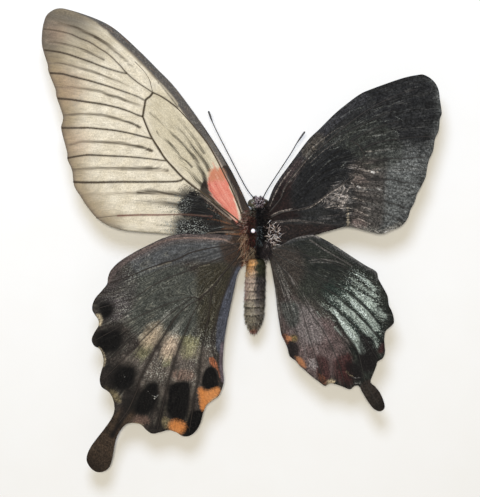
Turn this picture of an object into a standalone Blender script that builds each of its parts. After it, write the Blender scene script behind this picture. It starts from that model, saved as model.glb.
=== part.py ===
"""A pinned, set swallowtail butterfly on a foam mount board.

The butterfly is a bilateral gynandromorph: the left half is a large pale form with a long tail,
the right half a smaller black form with a short one. +Z is up, +Y runs from the tail to the head,
and the origin is the middle of the board's underside.
"""

import math

import bmesh
import bpy
from mathutils import Matrix, Vector

MM = 0.001                      # the sizes below are in millimetres
GAP = 0.3                       # clear space between neighbouring pieces

# mount board
BOARD_SIZE = (140.0, 146.0, 15.0)
BOARD_EDGE = 0.8                # rounding of the board's edges

# insect pin
PIN_X, PIN_Y = 3.35, 4.5
PIN_RADIUS = 0.25
PIN_LENGTH = 37.2
PIN_TIP_Z = 1.0
PIN_POINT = 1.8                 # length of the ground point
PIN_HEAD_RADIUS = 0.55
PIN_HOLE_RADIUS = PIN_RADIUS + GAP

# body, along a line that leans a little from the head down to the tip of the abdomen
THORAX_CENTRE = (4.4, 22.3)     # x, z
THORAX_FRONT = 10.4             # y
THORAX_TALL = 1.25              # height over width
THORAX_PROFILE = (              # distance back from the front, radius
    (0.0, 0.0), (0.1, 1.1), (0.6, 1.9), (1.4, 2.4), (2.3, 2.7), (3.4, 3.15), (5.0, 3.5),
    (7.2, 3.5), (9.2, 3.15), (11.0, 2.5), (12.0, 1.8), (12.6, 1.0), (12.7, 0.0),
)
ABDOMEN_FRONT = (4.1, -2.65, 22.1)
ABDOMEN_TIP = (3.6, -22.7, 20.9)
ABDOMEN_RADIUS = 2.65
ABDOMEN_RINGS = 8
RING_DEPTH = 0.16
HEAD_CENTRE = (4.9, 12.05, 22.2)
HEAD_RADII = (1.75, 1.32, 1.75)
EYE_OFFSET = 1.65
EYE_RADII = (1.2, 1.15, 1.3)

# proboscis, a flat coil under the head
COIL_CENTRE = (4.9, 12.0, 18.55)
COIL_INNER, COIL_OUTER = 0.45, 1.35
COIL_TURNS = 2.25
COIL_WIRE = 0.13

# antennae: x, y, z from the head to the tip
ANTENNA_RADIUS = 0.17
CLUB_RADIUS = 0.30
ANTENNA_LEFT = ((4.1, 12.6, 23.0), (3.5, 13.6, 23.7), (1.3, 16.6, 24.9), (-3.7, 26.1, 26.6),
                (-6.9, 32.5, 27.0), (-8.3, 36.2, 27.0))
ANTENNA_RIGHT = ((5.6, 12.6, 23.0), (6.1, 13.5, 23.7), (8.0, 16.8, 25.0), (13.3, 24.9, 26.8),
                 (15.0, 27.8, 27.1), (17.1, 30.8, 27.2))

# legs: half width from the body's middle, y, z, for the hip, knee, ankle and claw
LEG_RADII = (0.42, 0.34, 0.24, 0.15)
LEGS = {
    "fore": ((1.2, 7.4, 19.4), (5.2, 9.6, 20.4), (7.2, 11.6, 16.8), (9.8, 13.6, 15.6)),
    "mid": ((1.4, 4.6, 19.0), (5.6, 5.4, 20.4), (8.6, 4.6, 16.7), (12.0, 4.2, 15.6)),
    "hind": ((1.2, 2.0, 19.4), (5.2, 0.6, 20.2), (7.6, -2.6, 16.7), (9.6, -6.0, 15.6)),
}

# wings
WING_THICKNESS = 0.3
WING_CELL = 4.0                 # size of the grid that bends with the wing
EDGE_STEP = 1.6                 # spacing of points round a wing's outline
FOREWING_Z = 24.2               # at the thorax
HINDWING_LIFT = 0.75            # the hindwings lie over the forewings' inner margin
WING_ARCH = 0.9
TIP_DROOP = 0.5
FRONT_RISE = 0.010              # rise for each millimetre forward
REAR_DROOP = 2.2                # of a hindwing, over its length
HINDWING_LENGTH = 60.0
LEFT_ROOT, LEFT_SPAN = 0.8, 53.5
RIGHT_ROOT, RIGHT_SPAN = 8.0, 45.5
WING_ROOT_Y = 4.4               # where the fore and hindwings meet at the thorax

# Outlines seen from above, x and y. Each starts at the root of the leading edge.
FOREWING_LEFT = (
    (2.1, 11.5), (-2.4, 20.8), (-9.0, 31.4), (-16.7, 42.0), (-21.7, 47.3), (-27.0, 52.6),
    (-32.9, 57.9), (-37.7, 60.6), (-44.2, 62.9), (-48.1, 63.6), (-50.9, 62.2), (-52.0, 59.9),
    (-52.5, 56.7), (-52.4, 53.5), (-51.0, 48.8), (-50.7, 46.8), (-48.9, 42.2), (-48.6, 40.2),
    (-47.0, 35.5), (-47.0, 33.7), (-47.4, 32.2), (-47.0, 30.0), (-45.8, 25.4), (-45.7, 23.6),
    (-44.5, 20.7), (-43.9, 16.6), (-42.1, 13.6), (-40.6, 11.3), (-38.4, 8.6), (-35.5, 6.4),
    (-31.5, 5.0), (-26.2, 4.4), (-19.5, 3.9), (-15.5, 3.2), (-8.0, 2.9), (1.0, 3.2),
    (3.4, 4.5), (3.9, 7.0), (3.4, 9.4),
)
FOREWING_RIGHT = (
    (7.0, 11.4), (9.3, 16.8), (14.1, 23.5), (18.1, 28.8), (21.0, 31.6), (24.8, 35.4),
    (27.9, 38.0), (31.4, 40.6), (34.3, 42.0), (42.4, 44.9), (46.6, 45.9), (48.8, 46.0),
    (51.2, 44.5), (52.6, 42.2), (53.0, 39.4), (53.5, 36.0), (53.0, 34.4), (52.7, 31.4),
    (51.7, 29.1), (51.2, 26.0), (50.1, 23.5), (49.6, 21.4), (49.2, 19.0), (48.0, 16.4),
    (46.9, 14.4), (46.2, 12.2), (45.2, 10.4), (44.4, 8.0), (42.8, 6.1), (40.4, 5.0),
    (37.8, 4.0), (35.2, 4.3), (33.0, 4.9), (30.2, 5.6), (27.8, 5.8), (23.9, 4.8),
    (19.6, 3.5), (15.9, 2.3), (12.5, 1.2), (8.8, 1.3), (5.2, 3.6), (4.9, 7.0), (5.2, 9.4),
)
HINDWING_LEFT = (
    (3.4, 2.6), (-4.5, 3.7), (-10.6, 3.8), (-15.9, 3.8), (-19.9, 2.9), (-23.9, 1.1),
    (-27.8, -0.9), (-31.8, -3.4), (-34.1, -5.7), (-34.9, -7.6), (-35.2, -9.4), (-36.7, -11.3),
    (-38.2, -13.0), (-39.0, -14.7), (-39.1, -16.3), (-38.3, -17.7), (-37.5, -18.9),
    (-37.5, -20.5), (-38.6, -22.3), (-39.3, -24.2), (-38.6, -25.8), (-37.2, -26.6),
    (-36.3, -28.6), (-36.2, -30.6), (-36.8, -32.7), (-37.2, -34.8), (-36.7, -36.7),
    (-35.1, -37.8), (-34.0, -39.2), (-33.4, -41.2), (-33.4, -43.3), (-34.3, -45.4),
    (-36.2, -48.1), (-39.6, -52.6), (-40.8, -55.8), (-40.0, -58.0), (-38.4, -59.3),
    (-36.6, -59.4), (-35.0, -58.4), (-34.1, -56.3), (-33.0, -50.9), (-31.7, -48.2),
    (-30.1, -46.6), (-28.1, -46.3), (-26.2, -46.8), (-24.8, -48.2), (-23.3, -49.1),
    (-21.4, -48.8), (-19.0, -48.2), (-16.9, -48.8), (-15.2, -49.8), (-13.4, -49.7),
    (-11.8, -48.5), (-10.6, -46.5), (-9.7, -43.3), (-8.9, -41.6), (-7.4, -40.4),
    (-5.8, -39.2), (-4.8, -37.2), (-4.3, -34.8), (-4.6, -30.9), (-4.3, -25.5), (-3.4, -19.5),
    (-1.6, -11.0), (-0.7, -7.0), (0.5, -4.5), (1.8, -2.7), (3.6, -0.6),
)
HINDWING_RIGHT = (
    (5.6, 1.0), (10.6, 0.9), (12.7, 2.0), (14.8, 2.9), (17.0, 3.4), (19.3, 3.6), (21.7, 2.7),
    (24.9, 0.9), (29.2, -1.9), (33.1, -4.4), (36.0, -6.1), (36.6, -8.0), (37.8, -10.2),
    (39.0, -12.5), (39.4, -15.0), (40.0, -16.2), (40.6, -17.9), (40.7, -19.7), (39.6, -20.9),
    (38.5, -22.0), (38.2, -24.4), (38.4, -27.4), (37.8, -29.1), (36.5, -29.9), (36.0, -31.4),
    (35.2, -33.5), (34.6, -35.4), (36.0, -36.8), (37.2, -38.4), (38.2, -40.8), (38.3, -42.4),
    (37.1, -43.2), (35.5, -42.5), (34.1, -40.8), (32.5, -38.2), (31.6, -36.5), (30.4, -36.4),
    (29.1, -37.3), (27.0, -36.5), (24.1, -35.7), (22.6, -36.4), (21.2, -35.5), (19.3, -34.1),
    (17.4, -32.4), (15.8, -31.0), (14.8, -29.8), (13.2, -28.5), (12.6, -26.4), (11.8, -24.5),
    (11.0, -22.9), (10.6, -20.8), (9.9, -16.3), (9.4, -11.5), (8.6, -6.8), (8.0, -3.8),
    (7.2, -1.6), (5.4, -0.6),
)


# --- small helpers -------------------------------------------------------------------------------

def new_collection(name):
    collection = bpy.data.collections.new(name)
    bpy.context.scene.collection.children.link(collection)
    return collection


def material(name, hex_colour, roughness, metallic=0.0):
    """A Principled material from an sRGB hex colour."""
    channels = [int(hex_colour[i:i + 2], 16) / 255 for i in (0, 2, 4)]
    linear = [c / 12.92 if c <= 0.04045 else ((c + 0.055) / 1.055) ** 2.4 for c in channels]
    made = bpy.data.materials.new(name)
    made.use_nodes = True
    shader = made.node_tree.nodes["Principled BSDF"]
    shader.inputs["Base Color"].default_value = (*linear, 1.0)
    shader.inputs["Roughness"].default_value = roughness
    shader.inputs["Metallic"].default_value = metallic
    return made


def add_object(name, mesh, collection, finish=None):
    made = bpy.data.objects.new(name, mesh)
    collection.objects.link(made)
    if finish:
        mesh.materials.append(finish)
    return made


def mesh_from(bm, name):
    mesh = bpy.data.meshes.new(name)
    bm.to_mesh(mesh)
    bm.free()
    return mesh


def smooth(made):
    made.data.shade_smooth()
    made.data.set_sharp_from_angle(angle=math.radians(40))
    return made


def cut(made, cutter):
    """Subtract a closed cutter from a piece."""
    carve = made.modifiers.new("cut", "BOOLEAN")
    carve.operation = "DIFFERENCE"
    carve.object = cutter
    return made


def as_cutter(made):
    made.hide_render = True
    made.display_type = "WIRE"
    return made


def smooth_path(points, step, closed=False):
    """Points every step or so along a Catmull-Rom curve through the given ones."""
    count = len(points)
    places = [Vector(p) for p in points]
    if not closed:
        places = [places[0] * 2 - places[1]] + places + [places[-1] * 2 - places[-2]]
    spans = count if closed else count - 1
    path = []
    for i in range(spans):
        if closed:
            a, b, c, d = (places[(i + k - 1) % count] for k in range(4))
        else:
            a, b, c, d = places[i:i + 4]
        pieces = max(1, round((c - b).length / step))
        for k in range(pieces):
            t = k / pieces
            path.append(0.5 * (2 * b + (c - a) * t + (2 * a - 5 * b + 4 * c - d) * t ** 2
                               + (3 * b - a - 3 * c + d) * t ** 3))
    if not closed:
        path.append(places[-2])
    return path


def ellipsoid(name, centre, radii, collection, finish=None, segments=20, rings=12):
    bm = bmesh.new()
    bmesh.ops.create_uvsphere(bm, u_segments=segments, v_segments=rings, radius=1.0)
    bmesh.ops.scale(bm, vec=[r * MM for r in radii], verts=bm.verts)
    made = add_object(name, mesh_from(bm, name), collection, finish)
    made.location = [c * MM for c in centre]
    return smooth(made)


def turned(name, profile, steps, collection, finish=None):
    """A profile of (radius, height) pairs, listed from top to bottom, turned round its own Z."""
    bm = bmesh.new()
    verts = [bm.verts.new((r * MM, 0, z * MM)) for r, z in profile]
    for upper, lower in zip(verts, verts[1:]):
        bm.edges.new((upper, lower))
    made = add_object(name, mesh_from(bm, name), collection, finish)
    screw = made.modifiers.new("turn", "SCREW")
    screw.steps = steps
    screw.render_steps = steps
    screw.use_merge_vertices = True
    screw.merge_threshold = 0.00001
    screw.use_smooth_shade = True
    return made


def tube(name, points, radii, collection, finish, sides=2):
    """A tapered tube through points in millimetres, as a closed mesh."""
    curve = bpy.data.curves.new(name, "CURVE")
    curve.dimensions = "3D"
    curve.bevel_depth = MM
    curve.bevel_resolution = sides
    curve.use_fill_caps = True
    spline = curve.splines.new("POLY")
    spline.points.add(len(points) - 1)
    for place, point, radius in zip(spline.points, points, radii):
        place.co = (*(c * MM for c in point), 1.0)
        place.radius = radius
    guide = add_object(name + "_guide", curve, collection)
    solid = bpy.data.meshes.new_from_object(guide.evaluated_get(bpy.context.evaluated_depsgraph_get()))
    bpy.data.objects.remove(guide)
    bm = bmesh.new()
    bm.from_mesh(solid)
    bmesh.ops.remove_doubles(bm, verts=bm.verts, dist=0.001 * MM)
    bm.to_mesh(solid)
    bm.free()
    solid.materials.clear()
    return smooth(add_object(name, solid, collection, finish))


# --- the holder and the pin ----------------------------------------------------------------------

def mount_board(parts, cutters, foam):
    bm = bmesh.new()
    bmesh.ops.create_cube(bm, size=1.0)
    bmesh.ops.scale(bm, vec=[s * MM for s in BOARD_SIZE], verts=bm.verts)
    bmesh.ops.translate(bm, vec=(0, 0, BOARD_SIZE[2] / 2 * MM), verts=bm.verts)
    board = add_object("mount_board", mesh_from(bm, "mount_board"), parts, foam)
    edge = board.modifiers.new("edge", "BEVEL")
    edge.width = BOARD_EDGE * MM
    edge.segments = 3
    cut(board, pin_hole("pin_hole_in_board", PIN_TIP_Z - GAP, BOARD_SIZE[2] + 2, cutters))


def pin_hole(name, low, high, cutters):
    """A round cutter that leaves the gap all round the pin."""
    bm = bmesh.new()
    bmesh.ops.create_cone(bm, cap_ends=True, segments=16, radius1=PIN_HOLE_RADIUS * MM,
                          radius2=PIN_HOLE_RADIUS * MM, depth=(high - low) * MM)
    hole = add_object(name, mesh_from(bm, name), cutters)
    hole.location = (PIN_X * MM, PIN_Y * MM, (low + high) / 2 * MM)
    return as_cutter(hole)


def insect_pin(parts, steel, nylon):
    top = PIN_TIP_Z + PIN_LENGTH
    profile = ((0, top), (PIN_RADIUS, top), (PIN_RADIUS, PIN_TIP_Z + PIN_POINT), (0, PIN_TIP_Z))
    shaft = turned("pin_shaft", profile, 12, parts, steel)
    shaft.location = (PIN_X * MM, PIN_Y * MM, 0)
    ball_z = top + GAP + PIN_HEAD_RADIUS
    ellipsoid("pin_head", (PIN_X, PIN_Y, ball_z), (PIN_HEAD_RADIUS,) * 3, parts, nylon, 16, 10)


# --- the body ------------------------------------------------------------------------------------

def lay_along_y(made, centre_x, front_y, centre_z, tall=1.0):
    """Turn a piece that was turned round Z so that its top faces +Y."""
    made.matrix_world = (Matrix.Translation((centre_x * MM, front_y * MM, centre_z * MM))
                         @ Matrix.Rotation(math.radians(-90), 4, "X")
                         @ Matrix.Diagonal((1, tall, 1, 1)))
    return made


def thorax_form(name, grow, collection, finish=None):
    """The thorax, or with grow the same form a little larger on every side."""
    profile = [(r + grow if r else 0, -back) for back, r in THORAX_PROFILE]
    profile[0] = (0, grow)
    profile[-1] = (0, profile[-1][1] - grow)
    form = turned(name, profile, 24, collection, finish)
    return lay_along_y(form, THORAX_CENTRE[0], THORAX_FRONT, THORAX_CENTRE[1], THORAX_TALL)


def thorax(parts, cutters, fur):
    body = thorax_form("thorax", 0, parts, fur)
    hole = pin_hole("pin_hole_in_thorax", THORAX_CENTRE[1] - 8, THORAX_CENTRE[1] + 8, cutters)
    cut(body, hole)


def abdomen_radius(t):
    """Radius of the abdomen without its rings, from the waist at 0 to the tip at 1."""
    waist = 0.78 + 0.22 * math.sin(math.pi / 2 * min(t / 0.35, 1))
    tip = math.sqrt(max(0, 1 - (max(t - 0.62, 0) / 0.38) ** 2.2))
    return ABDOMEN_RADIUS * waist * tip


def abdomen(parts, skin):
    front, tip = Vector(ABDOMEN_FRONT), Vector(ABDOMEN_TIP)
    length = (tip - front).length
    profile = [(0, 0)]
    for ring in range(ABDOMEN_RINGS):
        for share, depth in ((0.06, RING_DEPTH), (0.3, 0), (0.8, 0)):
            t = (ring + share) / ABDOMEN_RINGS
            profile.append((abdomen_radius(t) - depth, -t * length))
    profile.append((0, -length))
    made = turned("abdomen", profile, 20, parts, skin)
    lean = (front - tip).to_track_quat("Z", "X").to_matrix().to_4x4()
    made.matrix_world = Matrix.Translation(front * MM) @ lean


def head(parts, cutters, fur, eye_skin):
    ellipsoid("head", HEAD_CENTRE, HEAD_RADII, parts, fur)
    clearance = as_cutter(ellipsoid("head_clearance", HEAD_CENTRE,
                                    [r + GAP for r in HEAD_RADII], cutters))
    for side, sign in (("left", -1), ("right", 1)):
        centre = (HEAD_CENTRE[0] + sign * EYE_OFFSET, HEAD_CENTRE[1], HEAD_CENTRE[2])
        eye = ellipsoid("eye_" + side, centre, EYE_RADII, parts, eye_skin)
        cut(eye, clearance)
    return clearance


def proboscis(parts, skin):
    """A flat spiral in the body's middle plane."""
    steps = round(COIL_TURNS * 16)
    points = []
    for i in range(steps + 1):
        t = i / steps
        angle = math.radians(90) + 2 * math.pi * COIL_TURNS * (t - 1)
        radius = COIL_INNER + (COIL_OUTER - COIL_INNER) * t
        points.append((COIL_CENTRE[0], COIL_CENTRE[1] + radius * math.cos(angle),
                       COIL_CENTRE[2] + radius * math.sin(angle)))
    tube("proboscis", points, [COIL_WIRE] * len(points), parts, skin)


def antennae(parts, clearance, skin):
    for name, route in (("antenna_left", ANTENNA_LEFT), ("antenna_right", ANTENNA_RIGHT)):
        path = smooth_path(route, 1.6)
        last = len(path) - 1
        radii = []
        for i in range(len(path)):
            swell = max(0, (i / last - 0.82) / 0.12)
            radii.append(ANTENNA_RADIUS + (CLUB_RADIUS - ANTENNA_RADIUS) * min(swell, 1))
        radii[-1] *= 0.6
        cut(tube(name, path, radii, parts, skin), clearance)


def legs(parts, clearance, skin):
    for side, sign in (("left", -1), ("right", 1)):
        for pair, joints in LEGS.items():
            route = [(THORAX_CENTRE[0] + sign * out, y, z) for out, y, z in joints]
            path = []
            radii = []
            for k in range(len(route) - 1):
                a, b = Vector(route[k]), Vector(route[k + 1])
                for t in (0, 0.12, 0.5, 0.88):
                    path.append(a.lerp(b, t))
                    radii.append(LEG_RADII[k] + (LEG_RADII[k + 1] - LEG_RADII[k]) * t)
            path.append(Vector(route[-1]))
            radii.append(LEG_RADII[-1])
            leg = tube("leg_%s_%s" % (pair, side), path, radii, parts, skin)
            cut(leg, clearance)


# --- the wings -----------------------------------------------------------------------------------

def wing_height(x, y, hind):
    """Height of a wing's middle surface: arched along the span, hindwings drooping to the rear."""
    left = x < THORAX_CENTRE[0]
    root, span = (LEFT_ROOT, LEFT_SPAN) if left else (RIGHT_ROOT, RIGHT_SPAN)
    out = max(0.0, (root - x if left else x - root) / span)
    z = FOREWING_Z + WING_ARCH * math.sin(math.pi * min(out, 1)) - TIP_DROOP * out
    if hind:
        back = max(0.0, (WING_ROOT_Y - y) / HINDWING_LENGTH)
        return z + HINDWING_LIFT - REAR_DROOP * back ** 1.3
    return z + FRONT_RISE * (y - WING_ROOT_Y)


def wing(name, outline, hind, parts, clearance, scales):
    path = smooth_path([(x, y, 0) for x, y in outline], EDGE_STEP, closed=True)
    bm = bmesh.new()
    bm.faces.new([bm.verts.new(p) for p in path])
    xs = [p.x for p in path]
    ys = [p.y for p in path]
    for axis, low, high in ((0, min(xs), max(xs)), (1, min(ys), max(ys))):
        normal = Vector((1, 0, 0)) if axis == 0 else Vector((0, 1, 0))
        for k in range(1, int((high - low) / WING_CELL) + 1):
            bmesh.ops.bisect_plane(bm, geom=bm.verts[:] + bm.edges[:] + bm.faces[:],
                                   dist=0.01, plane_co=normal * (low + k * WING_CELL),
                                   plane_no=normal)
    for vert in bm.verts:
        vert.co.z = wing_height(vert.co.x, vert.co.y, hind)
    bmesh.ops.scale(bm, vec=(MM, MM, MM), verts=bm.verts)
    bmesh.ops.recalc_face_normals(bm, faces=bm.faces)
    made = add_object(name, mesh_from(bm, name), parts, scales)
    sheet = made.modifiers.new("sheet", "SOLIDIFY")
    sheet.thickness = WING_THICKNESS * MM
    sheet.offset = 0
    cut(made, clearance)
    return made


# --- the whole part ------------------------------------------------------------------------------

def build():
    parts = new_collection("pinned_butterfly")
    cutters = new_collection("cutters")

    foam = material("white_foam", "F4F1EA", 0.9)
    steel = material("pin_steel", "B9BABD", 0.3, 1.0)
    nylon = material("white_nylon", "F2F0F2", 0.35)
    fur = material("dark_fur", "3A3330", 0.9)
    skin = material("ringed_cuticle", "6B5D4C", 0.75)
    black = material("black_cuticle", "1D1A1A", 0.5)
    eye_skin = material("eye_lens", "2B2320", 0.25)
    pale_scales = material("pale_wing_scales", "D9CFB9", 0.8)
    black_scales = material("black_wing_scales", "2C2B2B", 0.8)
    brown_scales = material("brown_wing_scales", "4A453E", 0.8)
    green_scales = material("green_black_wing_scales", "343633", 0.8)

    mount_board(parts, cutters, foam)
    insect_pin(parts, steel, nylon)
    thorax(parts, cutters, fur)
    thorax_clearance = as_cutter(thorax_form("thorax_clearance", GAP, cutters))
    abdomen(parts, skin)
    head_clearance = head(parts, cutters, fur, eye_skin)
    proboscis(parts, black)
    antennae(parts, head_clearance, black)
    legs(parts, thorax_clearance, black)

    wing("forewing_left", FOREWING_LEFT, False, parts, thorax_clearance, pale_scales)
    wing("forewing_right", FOREWING_RIGHT, False, parts, thorax_clearance, black_scales)
    wing("hindwing_left", HINDWING_LEFT, True, parts, thorax_clearance, brown_scales)
    wing("hindwing_right", HINDWING_RIGHT, True, parts, thorax_clearance, green_scales)


for leftover in list(bpy.data.objects):
    bpy.data.objects.remove(leftover, do_unlink=True)
build()
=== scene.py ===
# A set swallowtail butterfly, one half pale and one half black, on an insect pin in a white foam board.
# Sizes are in millimetres. +Y runs from the tail to the head, +Z up along the pin.
import math

import bmesh
import bpy
import numpy as np
from mathutils import Matrix, Vector, kdtree


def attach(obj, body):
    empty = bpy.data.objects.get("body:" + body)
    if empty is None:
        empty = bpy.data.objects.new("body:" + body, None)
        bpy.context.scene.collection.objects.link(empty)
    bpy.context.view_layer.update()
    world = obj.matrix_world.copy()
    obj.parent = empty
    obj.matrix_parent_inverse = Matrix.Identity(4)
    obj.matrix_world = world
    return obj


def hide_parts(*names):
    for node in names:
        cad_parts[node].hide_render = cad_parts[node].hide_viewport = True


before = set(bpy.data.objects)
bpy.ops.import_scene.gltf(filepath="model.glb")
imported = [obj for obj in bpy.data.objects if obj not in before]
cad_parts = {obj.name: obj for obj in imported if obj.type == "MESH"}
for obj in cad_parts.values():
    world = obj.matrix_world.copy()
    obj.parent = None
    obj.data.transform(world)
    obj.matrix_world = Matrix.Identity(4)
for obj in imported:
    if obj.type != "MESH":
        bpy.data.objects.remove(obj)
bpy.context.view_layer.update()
mm = 0.001
print("frame loaded:", len(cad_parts), "nodes")

# the picture: its middle in pixels, and how many millimetres one pixel is at the height of the wings
picture = {"middle": (240.0, 248.5), "pixel": 0.265, "wingHeight": 24.4}

# straight above the board, as specimens are photographed
cameraForm = {"distance": 420.0, "tall": 131.7, "sensor": 36.0}     # from the wings, and the height seen there
eye = bpy.data.objects.new("camera", bpy.data.cameras.new("camera"))
bpy.context.scene.collection.objects.link(eye)
eye.location.z = (picture["wingHeight"] + cameraForm["distance"]) * mm
eye.data.sensor_width = cameraForm["sensor"]
eye.data.lens = cameraForm["sensor"] * cameraForm["distance"] / cameraForm["tall"]
eye.data.clip_start = 10 * mm
bpy.context.scene.camera = eye


def fromPicture(flat):
    # a flat row of pixel numbers x, y, x, y as points in millimetres
    (midX, midY), pixel = picture["middle"], picture["pixel"]
    return [((flat[i] - midX) * pixel, (midY - flat[i + 1]) * pixel) for i in range(0, len(flat), 2)]


def colour(hexText):
    channels = [int(hexText[i:i + 2], 16) / 255 for i in (0, 2, 4)]
    return [c / 12.92 if c <= 0.04045 else ((c + 0.055) / 1.055) ** 2.4 for c in channels] + [1.0]


def addNode(tree, kind, inputs=None, **settings):
    # one node with its settings; an input is a value or another node's output
    node = tree.nodes.new("ShaderNode" + kind)
    for key, value in settings.items():
        setattr(node, key, value)
    for key, value in (inputs or {}).items():
        if isinstance(value, bpy.types.NodeSocket):
            tree.links.new(value, node.inputs[key])
        else:
            node.inputs[key].default_value = value
    return node


def startMaterial(name, roughness, ior=1.5, metallic=0.0, **more):
    # an empty material with its shader; more holds further sockets by name
    made = bpy.data.materials.new(name)
    made.use_nodes = True
    tree = made.node_tree
    tree.nodes.clear()
    shader = addNode(tree, "BsdfPrincipled", {"Roughness": roughness, "IOR": ior, "Metallic": metallic, **more})
    addNode(tree, "OutputMaterial", {"Surface": shader.outputs["BSDF"]})
    return made, tree, shader


def addPiece(name, mesh, material, standsFor=()):
    # a finished mesh as a piece on the body, in place of the solids that it stands for
    made = bpy.data.objects.new(name, mesh)
    bpy.context.scene.collection.objects.link(made)
    mesh.materials.append(material)
    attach(made, "root")
    if standsFor:
        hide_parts(*standsFor)
    return made


def smoothPath(points, step, closed=False):
    # a Catmull-Rom curve through the points, as a numpy array with a point every step or so
    places = [Vector(p) for p in points]
    count = len(places)
    if not closed:
        places = [places[0] * 2 - places[1]] + places + [places[-1] * 2 - places[-2]]
    path = []
    for i in range(count if closed else count - 1):
        a, b, c, d = [places[(i + k - 1) % count] for k in range(4)] if closed else places[i:i + 4]
        pieces = max(1, round((c - b).length / step))
        for k in range(pieces):
            t = k / pieces
            path.append(0.5 * (2 * b + (c - a) * t + (2 * a - 5 * b + 4 * c - d) * t ** 2
                               + (3 * b - a - 3 * c + d) * t ** 3))
    if not closed:
        path.append(places[-2])
    return np.array([tuple(p) for p in path])


def distanceTo(points, path):
    # distance of each point to a path of straight pieces, and how far along the path the nearest place is
    best = np.full(len(points), 1e9)
    along = np.zeros(len(points))
    pieces = len(path) - 1
    for i in range(pieces):
        a, b = path[i], path[i + 1]
        step = b - a
        t = np.clip(((points - a) @ step) / max(step @ step, 1e-12), 0, 1)
        d = np.hypot(*(points - a - t[:, None] * step).T)
        nearer = d < best
        best[nearer] = d[nearer]
        along[nearer] = (i + t[nearer]) / pieces
    return best, along


def insideOf(points, outline):
    # which points lie inside a closed outline
    inside = np.zeros(len(points), bool)
    x, y = points.T
    for (ax, ay), (bx, by) in zip(outline, np.roll(outline, -1, 0)):
        if ay != by:
            crosses = (ay > y) != (by > y)
            inside ^= crosses & (x < (bx - ax) * (y - ay) / (by - ay) + ax)
    return inside


def tubes(name, strands, sides=4):
    # closed tubes along rows of points with a radius at each, all in one mesh
    curve = bpy.data.curves.new(name, "CURVE")
    curve.dimensions = "3D"
    curve.bevel_depth = mm
    curve.bevel_resolution = sides // 2 - 2
    curve.use_fill_caps = True
    for points, radii in strands:
        spline = curve.splines.new("POLY")
        spline.points.add(len(points) - 1)
        places = np.column_stack((np.asarray(points) * mm, np.ones(len(points))))
        spline.points.foreach_set("co", places.ravel())
        spline.points.foreach_set("radius", np.asarray(radii, float))
    guide = bpy.data.objects.new(name + "Guide", curve)
    bpy.context.scene.collection.objects.link(guide)
    mesh = bpy.data.meshes.new_from_object(guide.evaluated_get(bpy.context.evaluated_depsgraph_get()))
    bpy.data.objects.remove(guide)
    mesh.materials.clear()
    bm = bmesh.new()
    bm.from_mesh(mesh)
    bmesh.ops.remove_doubles(bm, verts=bm.verts, dist=0.0001 * mm)
    bm.to_mesh(mesh)
    bm.free()
    mesh.shade_smooth()
    return mesh


def pointsOf(mesh, unit=mm):
    # a mesh's points as rows of x, y and z, in millimetres
    co = np.empty(len(mesh.vertices) * 3)
    mesh.vertices.foreach_get("co", co)
    return co.reshape(-1, 3) / unit


bodyMiddle = 4.4    # x of the line that parts the two halves
# the form of the wings' solids: arched along the span, the hindwings drooping to the rear
wingForm = {
    "baseZ": 24.2, "arch": 0.9, "tipDroop": 0.5, "frontRise": 0.010, "rootY": 4.4,
    "hindLift": 0.75, "rearDroop": 2.2, "hindLength": 60.0,
    "left": (0.8, 53.5), "right": (8.0, 45.5),      # x of the root and the span
    "thickness": 0.16, "cell": 0.25, "edgeStep": 0.25,
    "brush": 0.16, "markStep": 0.8,     # added to every painted line, and the spacing of points along it
    # usual distance from vein to vein, and the spacing of points on the guides
    "fold": 4.5, "flowStep": 1.5,
    "pleat": 0.045, "flatRoot": 8.0,    # height of the veins over the folds, either way, and where it starts
    "veinStep": 0.6, "veinLift": 0.7,   # spacing of points, and height as a share of the pleat
}


def wingHeight(x, y, hind):
    left = x < bodyMiddle
    root = np.where(left, wingForm["left"][0], wingForm["right"][0])
    span = np.where(left, wingForm["left"][1], wingForm["right"][1])
    out = np.maximum(0, np.where(left, root - x, x - root) / span)
    z = wingForm["baseZ"] + wingForm["arch"] * np.sin(np.pi * np.minimum(out, 1)) - wingForm["tipDroop"] * out
    if hind:
        back = np.maximum(0, (wingForm["rootY"] - y) / wingForm["hindLength"])
        return z + wingForm["hindLift"] - wingForm["rearDroop"] * back ** 1.3
    return z + wingForm["frontRise"] * (y - wingForm["rootY"])


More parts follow.
